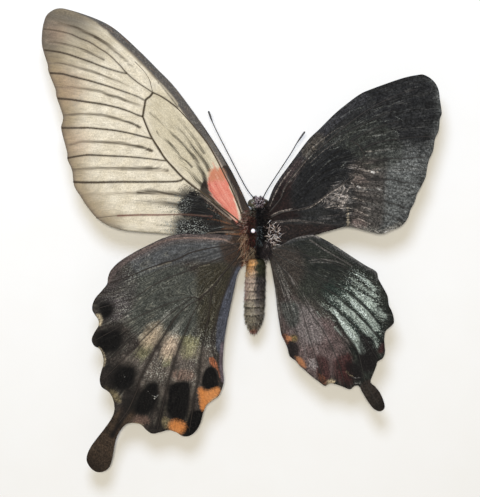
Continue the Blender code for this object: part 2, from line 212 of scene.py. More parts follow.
def wingSheet(outline):
    # a fine grid trimmed to the outline, with its stepped edge pulled onto it
    edge = smoothPath(outline, wingForm["edgeStep"], closed=True)
    low, high = edge.min(0), edge.max(0)
    cells = np.ceil((high - low) / wingForm["cell"]).astype(int)
    bm = bmesh.new()
    bmesh.ops.create_grid(bm, x_segments=int(cells[0]), y_segments=int(cells[1]), size=0.5)
    bmesh.ops.scale(bm, vec=(*(high - low), 1), verts=bm.verts)
    bmesh.ops.translate(bm, vec=(*((high + low) / 2), 0), verts=bm.verts)
    middles = np.array([f.calc_center_median()[:2] for f in bm.faces])
    outside = [f for f, kept in zip(bm.faces, insideOf(middles, edge)) if not kept]
    bmesh.ops.delete(bm, geom=outside, context="FACES")
    for _ in range(3):      # cells that hang on by one side or a corner
        loose = [f for f in bm.faces if sum(e.is_boundary for e in f.edges) > 2]
        bmesh.ops.delete(bm, geom=loose, context="FACES")
    rim = [v for v in bm.verts if v.is_boundary]
    spots = np.array([v.co[:2] for v in rim])
    step = np.roll(edge, -1, 0) - edge
    t = np.clip(((spots[:, None] - edge) * step).sum(2) / (step ** 2).sum(1), 0, 1)
    places = edge + t[..., None] * step
    nearest = ((spots[:, None] - places) ** 2).sum(2).argmin(1)
    for vert, spot in zip(rim, places[np.arange(len(rim)), nearest]):
        vert.co.x, vert.co.y = spot
    # the row beside the rim is evened out
    ring = {v for r in rim for e in r.link_edges for v in e.verts if not v.is_boundary}
    for _ in range(2):
        bmesh.ops.smooth_vert(bm, verts=list(ring), factor=0.5, use_axis_x=True, use_axis_y=True,
                              use_axis_z=False)
    return bm


def flowOf(points, lines):
    # a number that runs evenly from vein to vein, so that folds and fibres can follow them
    total, weights = np.zeros(len(points)), np.zeros(len(points))
    for number, path in lines:
        weight = 1 / (distanceTo(points, path)[0] + 0.1) ** 2
        total += weight * number
        weights += weight
    return total / weights


def ease(share):
    # 0 to 1 with soft ends
    share = np.clip(share, 0, 1)
    return share * share * (3 - 2 * share)


def strokeMask(points, path, width, soft, start=1.0, end=1.0):
    # a painted stroke: full inside its width, fading over soft, with a strength at each end
    reach = width / 2 + soft
    near = np.all((points > path.min(0) - reach) & (points < path.max(0) + reach), axis=1)
    mask = np.zeros(len(points))
    if near.any():
        d, along = distanceTo(points[near], path)
        mask[near] = ease((width / 2 + soft / 2 - d) / soft) * (start + (end - start) * along)
    return mask


def zoneMask(points, outline, soft):
    # a painted area inside a closed path, with an edge that fades over soft
    near = np.all((points > outline.min(0) - soft) & (points < outline.max(0) + soft), axis=1)
    mask = np.zeros(len(points))
    if near.any():
        d, _ = distanceTo(points[near], np.vstack((outline, outline[:1])))
        d[~insideOf(points[near], outline)] *= -1
        mask[near] = ease(0.5 + d / soft)
    return mask


def rowPath(wing, row, step):
    # a path through a row of picture points, or along a vein where the row is only its number
    return smoothPath(fromPicture(wing["tubes"][row[0]][2:] if len(row) == 1 else row), step)


def markMask(points, wing, shapes):
    # the strongest of a mark's painted shapes, each its kind, its sizes in millimetres, and then its rows:
    # "area", soft edge, rows of picture points
    # "edge", width, soft edge, rows of first and last outline point
    # "line" or "vein", width, soft edge, rows of strength at the start and the end, picture points or a vein
    step, brush = wingForm["markStep"], wingForm["brush"]
    parts = [np.zeros(len(points))]
    for kind, size, *rows in shapes:
        if kind == "area":
            parts += [zoneMask(points, smoothPath(fromPicture(row), step, closed=True), size) for row in rows]
            continue
        soft, *rows = rows
        if kind == "edge":
            parts += [strokeMask(points, smoothPath(wing["outline"][first:last + 1], step), size * 2, soft)
                      for first, last in rows]
            continue
        parts += [strokeMask(points, rowPath(wing, row, step), size + brush, soft + brush / 2, start, end)
                  for start, end, *row in rows]
    return np.max(parts, axis=0)


# single scales are 0.1 mm, too fine for a picture this size, so the grain is drawn at 0.3 mm
scaleForm = {
    "roughness": 0.62, "ior": 1.55, "specular": 0.08, "relief": 0.05,
    "fibre": (0.42, 2.6), "hair": (0.30, 5.0),      # width and length of the streaks along the veins
    "grain": 0.30, "mottle": 3.2, "edge": 2.4,      # edge: how strongly a painted edge is broken up
}


def wingMaterial(name, look):
    # dried wing membrane under rows of powdery scales: matt, with fibres along the veins and a grain of scales
    form = scaleForm
    made, tree, shader = startMaterial(name, form["roughness"], form["ior"],
                                       **{"Specular IOR Level": form["specular"]})
    flow = addNode(tree, "UVMap", uv_map="flow").outputs["UV"]
    place = addNode(tree, "TexCoord").outputs["Object"]

    def noise(vector, detail, size=None):
        return addNode(tree, "TexNoise", {"Vector": vector, "Scale": 1 / (size * mm) if size else 1.0,
                                          "Detail": detail, "Roughness": 0.6},
                       noise_dimensions="3D" if size else "2D").outputs["Fac"]

    def spread(value, low, high, toLow, toHigh, **more):
        return addNode(tree, "MapRange", {"Value": value, "From Min": low, "From Max": high, "To Min": toLow,
                                          "To Max": toHigh}, **more).outputs["Result"]

    def mixed(share, under, over, blend="MIX"):
        mix = addNode(tree, "Mix", {0: share, 6: under, 7: over}, data_type="RGBA", blend_type=blend)
        return mix.outputs[2]

    def along(across, length):
        scaled = addNode(tree, "Mapping", {"Vector": flow, "Scale": (1 / across, 1 / length, 1)})
        return scaled.outputs["Vector"]

    fibre = noise(along(*form["fibre"]), 3.0)
    hair = noise(along(*form["hair"]), 1.0)
    dust = noise(place, 1.5, form["grain"])
    mottle = noise(place, 3.0, form["mottle"])
    blotch = noise(place, 2.5, look["blotchSize"])
    centred, feather = (addNode(tree, "Math", {0: value, 1: form["edge"], 2: -form["edge"] / 2},
                                operation="MULTIPLY_ADD").outputs[0] for value in (dust, hair))
    tone = mixed(spread(mottle, 0.35, 0.65, 0, 1, interpolation_type="SMOOTHSTEP"), colour(look["base"]),
                 colour(look["baseOther"]))
    for mark, hexText, strength, grain in look["paint"]:
        if mark == "hair":      # fine pale lines along the veins
            tone = mixed(spread(hair, 0.60, 0.74, 0, strength), tone, colour(hexText))
            continue
        mask = addNode(tree, "Attribute", attribute_name=mark).outputs["Fac"]
        if grain > 0.9:         # scattered single scales, or above 1.5 fine lines along the veins
            pattern, low, high = (hair, 0.56, 0.70) if grain > 1.5 else (dust, 0.54, 0.66)
            bits = spread(pattern, low, high, 0, strength)
            share = addNode(tree, "Math", {0: bits, 1: mask}, operation="MULTIPLY")
            tone = mixed(share.outputs[0], tone, colour(hexText))
            continue
        # below 0 the edge is feathered along the veins, above 0 it is broken scale by scale
        depth = abs(grain)
        rough = addNode(tree, "Math", {0: feather if grain < 0 else centred, 1: depth, 2: mask},
                        operation="MULTIPLY_ADD").outputs[0]
        share = addNode(tree, "Math", {0: spread(rough, depth / 2 + 0.01, 1 - depth / 2, 0, strength),
                                       1: spread(mask, 0, 0.3, 0, strength)}, operation="MINIMUM")
        tone = mixed(share.outputs[0], tone, colour(hexText))
    # the wing's smoothest spots
    calm = addNode(tree, "Attribute", attribute_name=look["calm"]).outputs["Fac"]
    much = spread(calm, 0.2, 0.8, 1, 0.3)
    patterns = ((fibre, 0.3, look["fibre"]), (dust, 0.3, look["grain"]), (blotch, 0.35, look["blotch"]))
    for pattern, low, depth in patterns:
        tone = mixed(much, tone, spread(pattern, low, 1 - low, 1 - depth, 1 + depth), "MULTIPLY")
    tree.links.new(tone, shader.inputs["Base Color"])
    height = addNode(tree, "Math", {0: fibre, 1: 0.7, 2: dust}, operation="MULTIPLY_ADD").outputs[0]
    bump = addNode(tree, "Bump", {"Height": height, "Strength": 0.5, "Distance": form["relief"] * mm})
    tree.links.new(bump.outputs["Normal"], shader.inputs["Normal"])
    tree.links.new(spread(fibre, 0.3, 0.7, 0.5, 0.75), shader.inputs["Roughness"])
    return made


def cloudedSkin(name, look, **more):
    # a surface that wanders between two tones; its relief follows the clouds, or cells where it has them
    made, tree, shader = startMaterial(name, look["roughness"], look["ior"], **more)
    place = addNode(tree, "TexCoord").outputs["Object"]
    height = addNode(tree, "TexNoise", {"Vector": place, "Scale": 1 / (look["cloud"] * mm),
                                        "Detail": look["detail"]}).outputs["Fac"]
    tone = addNode(tree, "Mix", {0: height, 6: colour(look["tones"][0]), 7: colour(look["tones"][1])},
                   data_type="RGBA")
    tree.links.new(tone.outputs[2], shader.inputs["Base Color"])
    if "cell" in look:
        height = addNode(tree, "TexVoronoi", {"Vector": place, "Scale": 1 / (look["cell"] * mm)})
        height = height.outputs["Distance"]
    if "bump" in look:
        bump = addNode(tree, "Bump",
                       {"Height": height, "Strength": look["bump"], "Distance": look["relief"] * mm},
                       invert=look.get("domed", False))
        tree.links.new(bump.outputs["Normal"], shader.inputs["Normal"])
    return made


def makeWing(wing):
    hind, marks = wing["hind"], wing["marks"]
    wing["outline"] = outline = np.reshape(wing["outline"], (-1, 2))
    bm = wingSheet(outline)
    mesh = bpy.data.meshes.new(wing["name"])
    bm.to_mesh(mesh)
    bm.free()
    count = len(mesh.vertices)
    co = pointsOf(mesh, 1)
    points = co[:, :2].copy()
    x, y = points.T
    step = wingForm["flowStep"]
    lines = [(number, rowPath(wing, row, step)) for number, *row in wing["flow"]]
    lines += [(number, smoothPath(outline[first:last + 1], step)) for number, first, last in wing["flowEdges"]]
    flow = flowOf(points, lines)
    reach = np.hypot(*(points - fromPicture(wing["root"])[0]).T)
    pleat = wingForm["pleat"] * np.cos(2 * np.pi * flow) * np.clip(reach / wingForm["flatRoot"] - 0.5, 0, 1)
    masks = {mark: markMask(points, wing, shapes).astype(np.float32) for mark, shapes in marks.items()}
    for mark, values in masks.items():
        mesh.attributes.new(mark, "FLOAT", "POINT").data.foreach_set("value", values)
    crumple = np.zeros(count)
    for mark, depth in wing.get("crumple", {}).items():     # creases 1 to 2 mm apart that cross each other
        creases = np.sin(4.1 * x + 2.3 * y) * np.sin(3.3 * y - 1.7 * x) + 0.6 * np.sin(7.9 * x + y)
        crumple += depth * masks[mark] * creases
    co[:, 2] = wingHeight(x, y, hind) + pleat + crumple
    mesh.vertices.foreach_set("co", (co * mm).ravel())
    corner = np.empty(len(mesh.loops), np.int32)
    mesh.loops.foreach_get("vertex_index", corner)
    across = np.column_stack((flow * wingForm["fold"], reach))[corner]
    mesh.uv_layers.new(name="flow").data.foreach_set("uv", across.ravel())
    mesh.shade_smooth()
    sheet = addPiece(wing["name"], mesh, wingMaterial(wing["name"] + "Scales", wing["look"]),
                     (wing["node"],))
    wall = sheet.modifiers.new("membrane", "SOLIDIFY")
    wall.thickness = wingForm["thickness"] * mm
    wall.offset = 0
    strands = []
    for startRadius, endRadius, *row in wing["tubes"]:
        path = smoothPath(fromPicture(row), wingForm["veinStep"])
        z = wingHeight(path[:, 0], path[:, 1], hind) + wingForm["pleat"] * wingForm["veinLift"]
        strands.append((np.column_stack((path, z)), np.linspace(startRadius, endRadius, len(path))))
    # hollow chitin tubes, smooth and a little glossier than the scales round them
    skin = cloudedSkin(wing["name"] + "VeinChitin", {"roughness": 0.55, "ior": 1.56, "tones": wing["veinTones"],
                                                     "cloud": 0.8, "detail": 2.0, "bump": 0.3, "relief": 0.03},
                       **{"Specular IOR Level": 0.2})
    addPiece(wing["name"] + "Veins", tubes(wing["name"] + "Veins", strands, sides=6), skin)
    print(wing["name"], count, "points,", len(strands), "veins")


# each wing: the outline is x,y in millimetres, and all other points are x,y in the picture
# tubes: radius at the first and the last point, then the points of a vein
# flow: a number, then the tube or the points where it holds
# flowEdges: a number, then the first and the last point of the outline where it holds
wings = []
wings.append({      # pale, with dusky folds between dark veins and a red patch at the base
    "name": "forewingLeft", "node": "forewing_left", "slot": "pale_scales", "hind": False, "root": (243, 222),
    "outline": (
        2.1,11.5, -2.4,20.8, -9,31.4, -16.7,42, -21.7,47.3, -27,52.6, -32.9,57.9, -37.7,60.6, -44.2,62.9,
        -48.1,63.6, -50.9,62.2, -52,59.9, -52.5,56.7, -52.4,53.5, -51,48.8, -50.7,46.8, -48.9,42.2, -48.6,40.2,
        -47,35.5, -47,33.7, -47.4,32.2, -47,30, -45.8,25.4, -45.7,23.6, -44.5,20.7, -43.9,16.6, -42.1,13.6,
        -40.6,11.3, -38.4,8.6, -35.5,6.4, -31.5,5, -26.2,4.4, -19.5,3.9, -15.5,3.2, -8,2.9, 1,3.2, 3.4,4.5,
        3.9,7, 3.4,9.4),
    "flowEdges": ((0, 0, 9), (11, 29, 35)),
    "flow": ((2, 0), (2, 11), (3, 1), (4, 2), (5, 3), (6, 4), (7, 5), (8, 6), (10, 7), (7.6, 12)),
    "tubes": (
        (0.1,0.13, 44,29, 55,30.5, 70,34, 80,38.5, 90,42.5, 100,49, 108,54, 115,60.5, 121,66.5, 127,73.5,
         133,79, 141,85, 148,89.5, 153,93),
        (0.13,0.1, 45,50, 55,51.5, 63,53, 70,55, 80,58.5, 90,62, 100,66, 110,69.5, 120,72.5, 127,74),
        (0.15,0.1, 50,73, 63,74, 70,76, 80,78.5, 90,81, 100,84, 110,87, 120,90.5, 130,94, 138,97, 145,101),
        (0.15,0.13, 58,98.5, 70,99.5, 80,101, 90,102.5, 100,104, 110,106, 120,108.5, 130,112, 137,115, 143,117),
        (0.14,0.13, 61.5,128, 80,128, 90,128, 100,129, 110,130, 120,131.5, 130,133.5, 140,136, 152,139),
        (0.13,0.13, 68,158, 76,156.5, 83,155.5, 90,155, 110,156, 130,157, 150,159, 166,161),
        (0.13,0.14, 73,182, 90,182.5, 120,182, 150,182, 177,181.5, 183,179),
        (0.11,0.13, 96,218, 105,217, 120,215.5, 140,215, 160,215, 185,214.5, 210,216),
        (0.12,0.11, 153,93, 151,85, 150,81, 146,74, 140,67, 135,62),
        (0.09,0.1, 158,82, 160,87, 168,96, 175,104, 180,110),
        (0.19,0.19, 153,93, 150,97, 146,100, 145,105, 144,110, 143,117),
        (0.17,0.26, 153,93, 160,96, 168,101, 175,106, 178,109, 190,122, 200,134, 207,143, 212,151, 218,162,
         224,174, 231,188, 238,205, 243,218),
        (0.18,0.24, 143,117, 146,125, 149,132, 152,138, 156,144, 160,150, 164,157, 169,163, 175,169, 180,175,
         190,184, 197,189, 210,198, 215,203, 225,210, 235,218, 242,224)),
    "veinTones": ("33291C", "54452F"),
    "marks": {
        "outer": (("edge", 4, 9, (9, 28)), ("edge", 3.6, 9, (22, 29))),
        "apex": (("edge", 6, 13, (8, 12)),),
        "margin": (("edge", 0.5, 3.2, (10, 30)),),
        "innerMargin": (("edge", 0.3, 1.4, (29, 33)),),
        "dusk": (
            ("vein", 0.5, 1.8, (1, 0.4, 0), (1, 0.5, 1), (1, 0.4, 2), (1, 0.4, 3), (1, 0.4, 4), (1, 0.4, 5),
             (1, 0.4, 6), (1, 0.4, 7)),
            ("line", 0.5, 1.5, (0.9,0.6, 52,22, 77,28.2, 94,36.4, 113,49.4, 128,62),
             (0.9,0.5, 46,41, 70,45.5, 88,52, 104,60), (0.9,0.5, 48,63, 70,65, 90,71, 110,78.5, 128,86),
             (0.9,0.6, 55,87.5, 80,88, 100,91.5, 118,97.5, 140,106),
             (0.9,0.6, 62,115.5, 80,114, 100,115, 124,121, 140,127.5),
             (0.9,0.6, 68,145, 82,142, 116,143, 142,147.5, 152,151),
             (0.9,0.8, 72,170, 90,168.5, 128,168.5, 168,171), (0.6,0.9, 80,195, 105,194, 140,193, 175,194.5))),
        "streaks": (
            ("line", 0.68, 0.83, (0.5,0.9, 58.6,23.4, 68,25.6, 77,28.2, 85.5,32.5, 94,36.4, 99.3,39.4),
             (1,0.35, 95,37, 99.3,39.4, 106,43.8, 113,49.4, 120,55.5, 126,61, 133,67.6)),
            ("line", 0.45, 0.75, (0.5,0.9, 48,41.5, 60,43, 70,45.5, 80,48.5, 88,52, 96,56, 104,60)),
            ("line", 0.48, 0.68, (0.45,0.8, 48,63, 60,63, 70,65, 80,68.5, 90,71, 100,74.5),
             (0.45,1, 63,115.5, 80,114, 100,115, 108,116.5, 116,118.5, 124,121, 132,123.5, 140,127.5)),
            ("line", 0.48, 0.83, (0.8,0.3, 96,73, 110,78.5, 120,82, 127,85, 135,90)),
            ("line", 0.52, 0.75, (0.35,0.9, 55,87.5, 70,87, 80,88, 90,90, 100,91.5, 108,95, 118,97.5, 126,101),
             (0.8,0.4, 124,100, 134,104, 142,106)),
            ("line", 0.57, 0.75,
             (0.5,1, 70,145, 76,143.5, 82,142, 100,142, 116,143, 126,144.5, 142,147.5, 152,151)),
            ("line", 0.45, 0.9, (0.5,0.8, 72,170, 90,168.5, 110,168, 128,168.5)),
            ("line", 0.68, 1.5, (0.8,0.95, 122,168.5, 140,168.5, 152,168.7)),
            ("line", 0.45, 1.2, (0.9,0.6, 148,168.7, 163,169, 168,171)),
            ("line", 0.45, 1.05, (0.1,0.8, 105,194, 125,193, 140,193, 150,192.5)),
            ("line", 1, 1.6, (0.8,1, 138,192.5, 160,192.3, 186,196)),
            ("line", 0.52, 1.2, (0.1,0.6, 110,204.5, 125,203.5, 140,202, 155,202)),
            ("line", 0.7, 1, (0.3,0.8, 136,202, 150,201.5, 164,202, 176,203.5)),
            ("line", 0.3, 0.5, (0.4,0.9, 136,192.3, 148,192, 160,192.2, 172,194.5)),
            ("line", 0.25, 0.5, (0.3,0.8, 146,201.6, 158,202, 170,203, 180,205.5)),
            ("line", 1.2, 1.95, (0.6,1, 148,202, 164,202.5, 182,206))),
        "cellDust": (
            ("line", 0.5, 0.9,
             (0.5,0.9, 150,113, 156,118, 163,124, 168,129, 174,136, 180,141, 187,149, 194,159),
             (0.5,0.9, 157,132, 162,137, 167,141, 173,147, 178,153, 181,158, 186,161, 192,167),
             (0.2,0.8, 170,130, 180,140, 190,151, 199,163), (0.2,0.8, 176,156, 186,168, 196,180)),
            ("line", 0.9, 1.2, (0.3,1, 168,121, 176,128, 182,132, 186,138, 192,146, 200,156, 207,165, 209,170)),
            ("line", 0.7, 1, (0.4,0.8, 178,119, 183,124, 188,130, 196,141, 204,153)),
            ("line", 1.2, 1.4, (0.5,1, 194,158, 200,168, 204,177, 207,186)),
            ("line", 1, 1.6, (0.4,1, 186,168, 194,177, 203,186))),
        "veinShade": (
            ("vein", 0.24, 0.35, (0.8, 0.8, 0)),
            ("vein", 0.32, 0.35, (1, 0.8, 1), (1, 0.9, 4)),
            ("vein", 0.36, 0.4, (1, 0.7, 2)),
            ("vein", 0.38, 0.4, (1, 0.8, 3)),
            ("vein", 0.3, 0.4, (1, 0.8, 5)),
            ("vein", 0.42, 0.45, (1, 0.9, 6)),
            ("vein", 0.42, 0.4, (1, 1, 10)),
            ("line", 0.36, 0.45, (0.9,1, 143,117, 152,138, 164,157, 180,175, 197,189)),
            ("line", 0.28, 0.35, (1,0.8, 153,93, 160,96, 168,101, 178,109)),
            ("line", 0.2, 0.45, (0.4,1, 132,54, 146,67.5, 158,81.5, 168,94, 178,107))),
        "rustVein": (("line", 0.25, 0.4, (0.9,0.7, 118,215.8, 140,215, 160,215, 185,214.5, 212,216.5)),),
        "black": (
            ("area", 3.4, (186,194, 192,190, 201,193, 208,199, 216,206, 222,214, 222,224, 224,237, 190,238,
             176,236, 176,228, 178,219, 190,217, 179,212, 177,204)),
            ("line", 2.6, 2, (0.8,1, 186,214, 196,213, 216,217)),
            ("line", 0.4, 1.4, (0.5,1, 168,194, 180,196, 194,201)),
            ("line", 0.4, 1.2, (0.5,1, 164,203, 176,204, 190,206), (0.5,1, 184,185, 194,190, 203,199),
             (0.5,1, 178,189, 188,193, 200,200)),
            ("line", 0.5, 1.2, (0.4,1, 160,222, 172,222, 190,223), (0.4,1, 160,230, 172,230, 190,230)),
            ("line", 0.3, 1, (0.4,1, 170,210, 180,210, 192,211), (0.4,1, 166,226, 176,226.5, 190,227)),
            ("line", 0.2, 1, (0.4,0.9, 152,212, 166,212, 182,212.5)),
            ("line", 0.2, 0.8, (0.3,0.9, 150,206.5, 164,207, 184,208), (0.3,0.8, 156,199, 168,199, 184,201))),
        "baseBrown": (("area", 2.2, (208,199, 222,209, 240,221, 252,224, 252,238, 204,240, 206,228, 212,214)),),
        "costaInner": (("edge", 2.2, 1, (2, 6)), ("edge", 1.2, 4, (6, 9))),
        "costa": (
            ("edge", 1.9, 0.9, (0, 4)),
            ("edge", 1.8, 0.9, (4, 6)),
            ("line", 1.7, 1, (1,1, 128,45, 118,34, 104,24.5, 97,18.5, 86,13, 73,7.6, 60,4.5)),
            ("area", 0.8, (178,104, 186,102, 190,108, 206,130, 216,146, 224,160, 220,164, 212,151, 207,143,
             200,134, 190,122, 181,110))),
        "costaBase": (
            ("area", 0.9, (204,128, 214,143, 222,157, 227,166, 232,176, 236,187, 239,199, 241,212, 246,224,
             258,222, 252,200, 240,178, 226,152, 212,132)),
            ("area", 0.7, (222,166, 227,174, 232,186, 236,198, 239.5,210, 242,222, 246,218, 240,190, 230,168))),
        "red": (
            ("area", 1.5, (211,172, 214,168, 217,171, 220,168, 223,172, 227,180, 231,189, 234,199, 237,209,
             239,219, 237,223, 230,215, 221,205, 214,198, 209.5,190, 208.2,181)),
            ("line", 0.3, 0.8, (0.5,1, 213,163, 216,171, 219,180), (0.5,1, 219,164, 221,171, 224,178))),
        "redPale": (
            ("line", 0.2, 0.9, (0.7,0.6, 216,174, 221,186, 228,199, 235,213)),
            ("line", 0.1, 0.7, (0.6,0.5, 211,183, 218,194, 229,208))),
        "paleLines": (
            ("line", 0.08, 0.3, (0.5,1, 190,183.5, 200,191, 208,197, 216,203.5, 226,211.5, 236,220.5),
             (0.3,0.4, 206,233.5, 220,232, 234,232.5)),
            ("line", 0.04, 0.3, (0.4,0.8, 200,194.5, 210,202, 221,211.5, 231,219.5)),
            ("line", 0.05, 0.3, (0.1,1, 208,143, 213,151, 218,159, 222,167)),
            ("line", 0.06, 0.3, (0.2,1, 232,184, 236,193, 239,203, 241.5,212))),
        "darkFolds": (
            ("line", 0.6, 0.8, (0.5,1, 200,183, 206,192, 214,200, 226,211, 240,224)),
            ("area", 0.8,
             (204,180, 207,184, 210,192, 216,200, 226,211, 238,223, 242,226, 226,214, 212,203, 200,192)),
            ("line", 0.9, 1.3, (0.7,1, 198,192, 212,204, 226,216, 240,226)),
            ("line", 0.5, 1, (0.8,1, 208,234, 222,231, 238,229, 250,228)),
            ("line", 0.4, 0.8, (0.6,1, 205,224, 220,224, 236,226)),
            ("line", 0.9, 1.6, (0.6,1, 203,174, 206,184, 211,194))),
        "outerUp": (("edge", 4, 11, (10, 20)),),
        "redTop": (("area", 2.2, (209,172, 213,168, 222,168, 226,176, 222,181, 215,180, 210,182)),),
        "baseOlive": (("area", 2.5, (208,204, 216,205, 228,214, 244,222, 240,232, 222,230, 212,226, 206,216)),),
        "blackPowder": (
            ("area", 3, (172,198, 186,198, 190,206, 186,213, 172,212), (166,221, 200,221, 204,234, 166,235)),
            ("line", 0.6, 1.6, (0.8,0.6, 208,204, 214,209, 220,216))),
        "silver": (
            ("line", 0.08, 0.4, (0.3,0.6, 206,232, 214,228.5, 224,226.5),
             (0.7,0.3, 183,201, 190,199.5, 196,201)),
            ("line", 0.1, 0.4, (0.5,0.7, 196,235, 206,232.5))),
        "veinOlive": (
            ("line", 0.3, 0.6, (0.3,0.8, 205,201, 216,209, 228,217), (0.5,0.9, 226,234, 236,234, 248,234)),
            ("line", 0.2, 0.5, (0.4,0.8, 208,208, 218,213, 230,220), (0.3,0.8, 204,219, 216,220, 230,224)),
            ("line", 0.25, 0.6, (0.5,0.9, 222,229, 232,229, 244,231))),
        "cellTone": (
            ("area", 5,
             (150,92, 162,92, 180,108, 200,132, 214,160, 206,182, 196,184, 180,170, 162,148, 148,120)),),
        "lowHaze": (("line", 1.5, 5, (0.7,0.9, 98,221, 120,228, 150,233, 172,235)),),
        "blackHaze": (
            ("area", 5, (180,190, 188,187, 198,190, 206,210, 200,240, 172,242, 172,220, 177,213, 179,203)),
            ("line", 1, 4.5, (0.1,0.8, 140,231, 156,231, 176,232)),
            ("line", 0.8, 2.5, (0.4,0.9, 158,206, 168,206, 180,206)),
            ("line", 2.6, 4, (0.1,0.5, 142,209, 158,209, 178,209)),
            ("line", 0.6, 2, (0.4,0.9, 150,224, 160,225, 170,226))),
        "rose": (
            ("area", 8, (58,72, 82,74, 84,99, 62,102)),
            ("area", 6, (48,26, 66,28, 66,40, 50,40)),
            ("area", 7, (66,132, 88,132, 88,152, 72,154))),
        "redDark": (
            ("line", 0.3, 0.9, (0.9,0.9, 209,178, 210.5,189, 217,199, 228,211)),
            ("line", 0.15, 0.6, (0.5,0.7, 214,178, 219,191, 229,206))),
        "apexTan": (
            ("area", 9, (40,10, 66,10, 92,22, 112,44, 104,58, 84,66, 66,78, 46,84, 40,50)),
            ("area", 7, (50,70, 80,74, 84,96, 56,100))),
    },
    "look": {
        "base": "D4C9B2", "baseOther": "C9BDA4", "fibre": 0.15, "grain": 0.2, "blotch": 0.05, "blotchSize": 0.5,
        "calm": "red",
        "paint": (
            ("apexTan", "837458", 0.55, 0.2), ("outer", "8E7C60", 0.88, 0.2), ("outerUp", "7C6A4A", 0.25, 0.2),
            ("apex", "625B50", 0.88, 0.25), ("cellTone", "B2A688", 0.6, 0.3), ("dusk", "857764", 0.7, 0.4),
            ("rose", "B98F76", 0.18, 0.1), ("lowHaze", "8C8674", 0.6, 0.5), ("margin", "5F5348", 0.85, 0.4),
            ("innerMargin", "8D836E", 0.6, 0.5), ("streaks", "3D3325", 0.92, -0.35),
            ("cellDust", "443E30", 0.9, -0.6), ("rustVein", "7A4636", 0.9, 0.2),
            ("blackHaze", "4A463D", 0.75, 0.7), ("baseBrown", "24160F", 0.95, -0.5),
            ("baseOlive", "7A4A30", 0.45, 2), ("baseOlive", "8A6C58", 0.1, 1), ("black", "0E0D0C", 1, 0.6),
            ("blackPowder", "A6A89E", 0.7, 1), ("black", "77756E", 0.25, 2), ("veinOlive", "80502E", 0.75, 0.5),
            ("rustVein", "7A5048", 0.6, 0.3), ("veinShade", "2A2117", 0.93, 0.3),
            ("silver", "8C8E88", 0.8, 0.3), ("costaInner", "7A6E5A", 0.8, 0.3), ("costa", "484644", 0.94, 0.4),
            ("costa", "8A867A", 0.35, 1), ("costa", "7A5E48", 0.35, 2), ("costaBase", "1F1A17", 0.92, -0.4),
            ("costaBase", "6E5240", 0.45, 2), ("darkFolds", "1A120E", 0.95, -0.3), ("red", "D07A66", 1, -0.7),
            ("red", "EDB8A4", 0.5, 2), ("red", "963F38", 0.5, 1), ("redDark", "A0463C", 0.75, 0.4),
            ("redTop", "B47C58", 0.6, 0.4), ("redTop", "5A4634", 0.5, 2), ("redPale", "EDC0A8", 0.5, 0.5),
            ("paleLines", "D2BCA6", 0.92, 0.1)),
    },
})
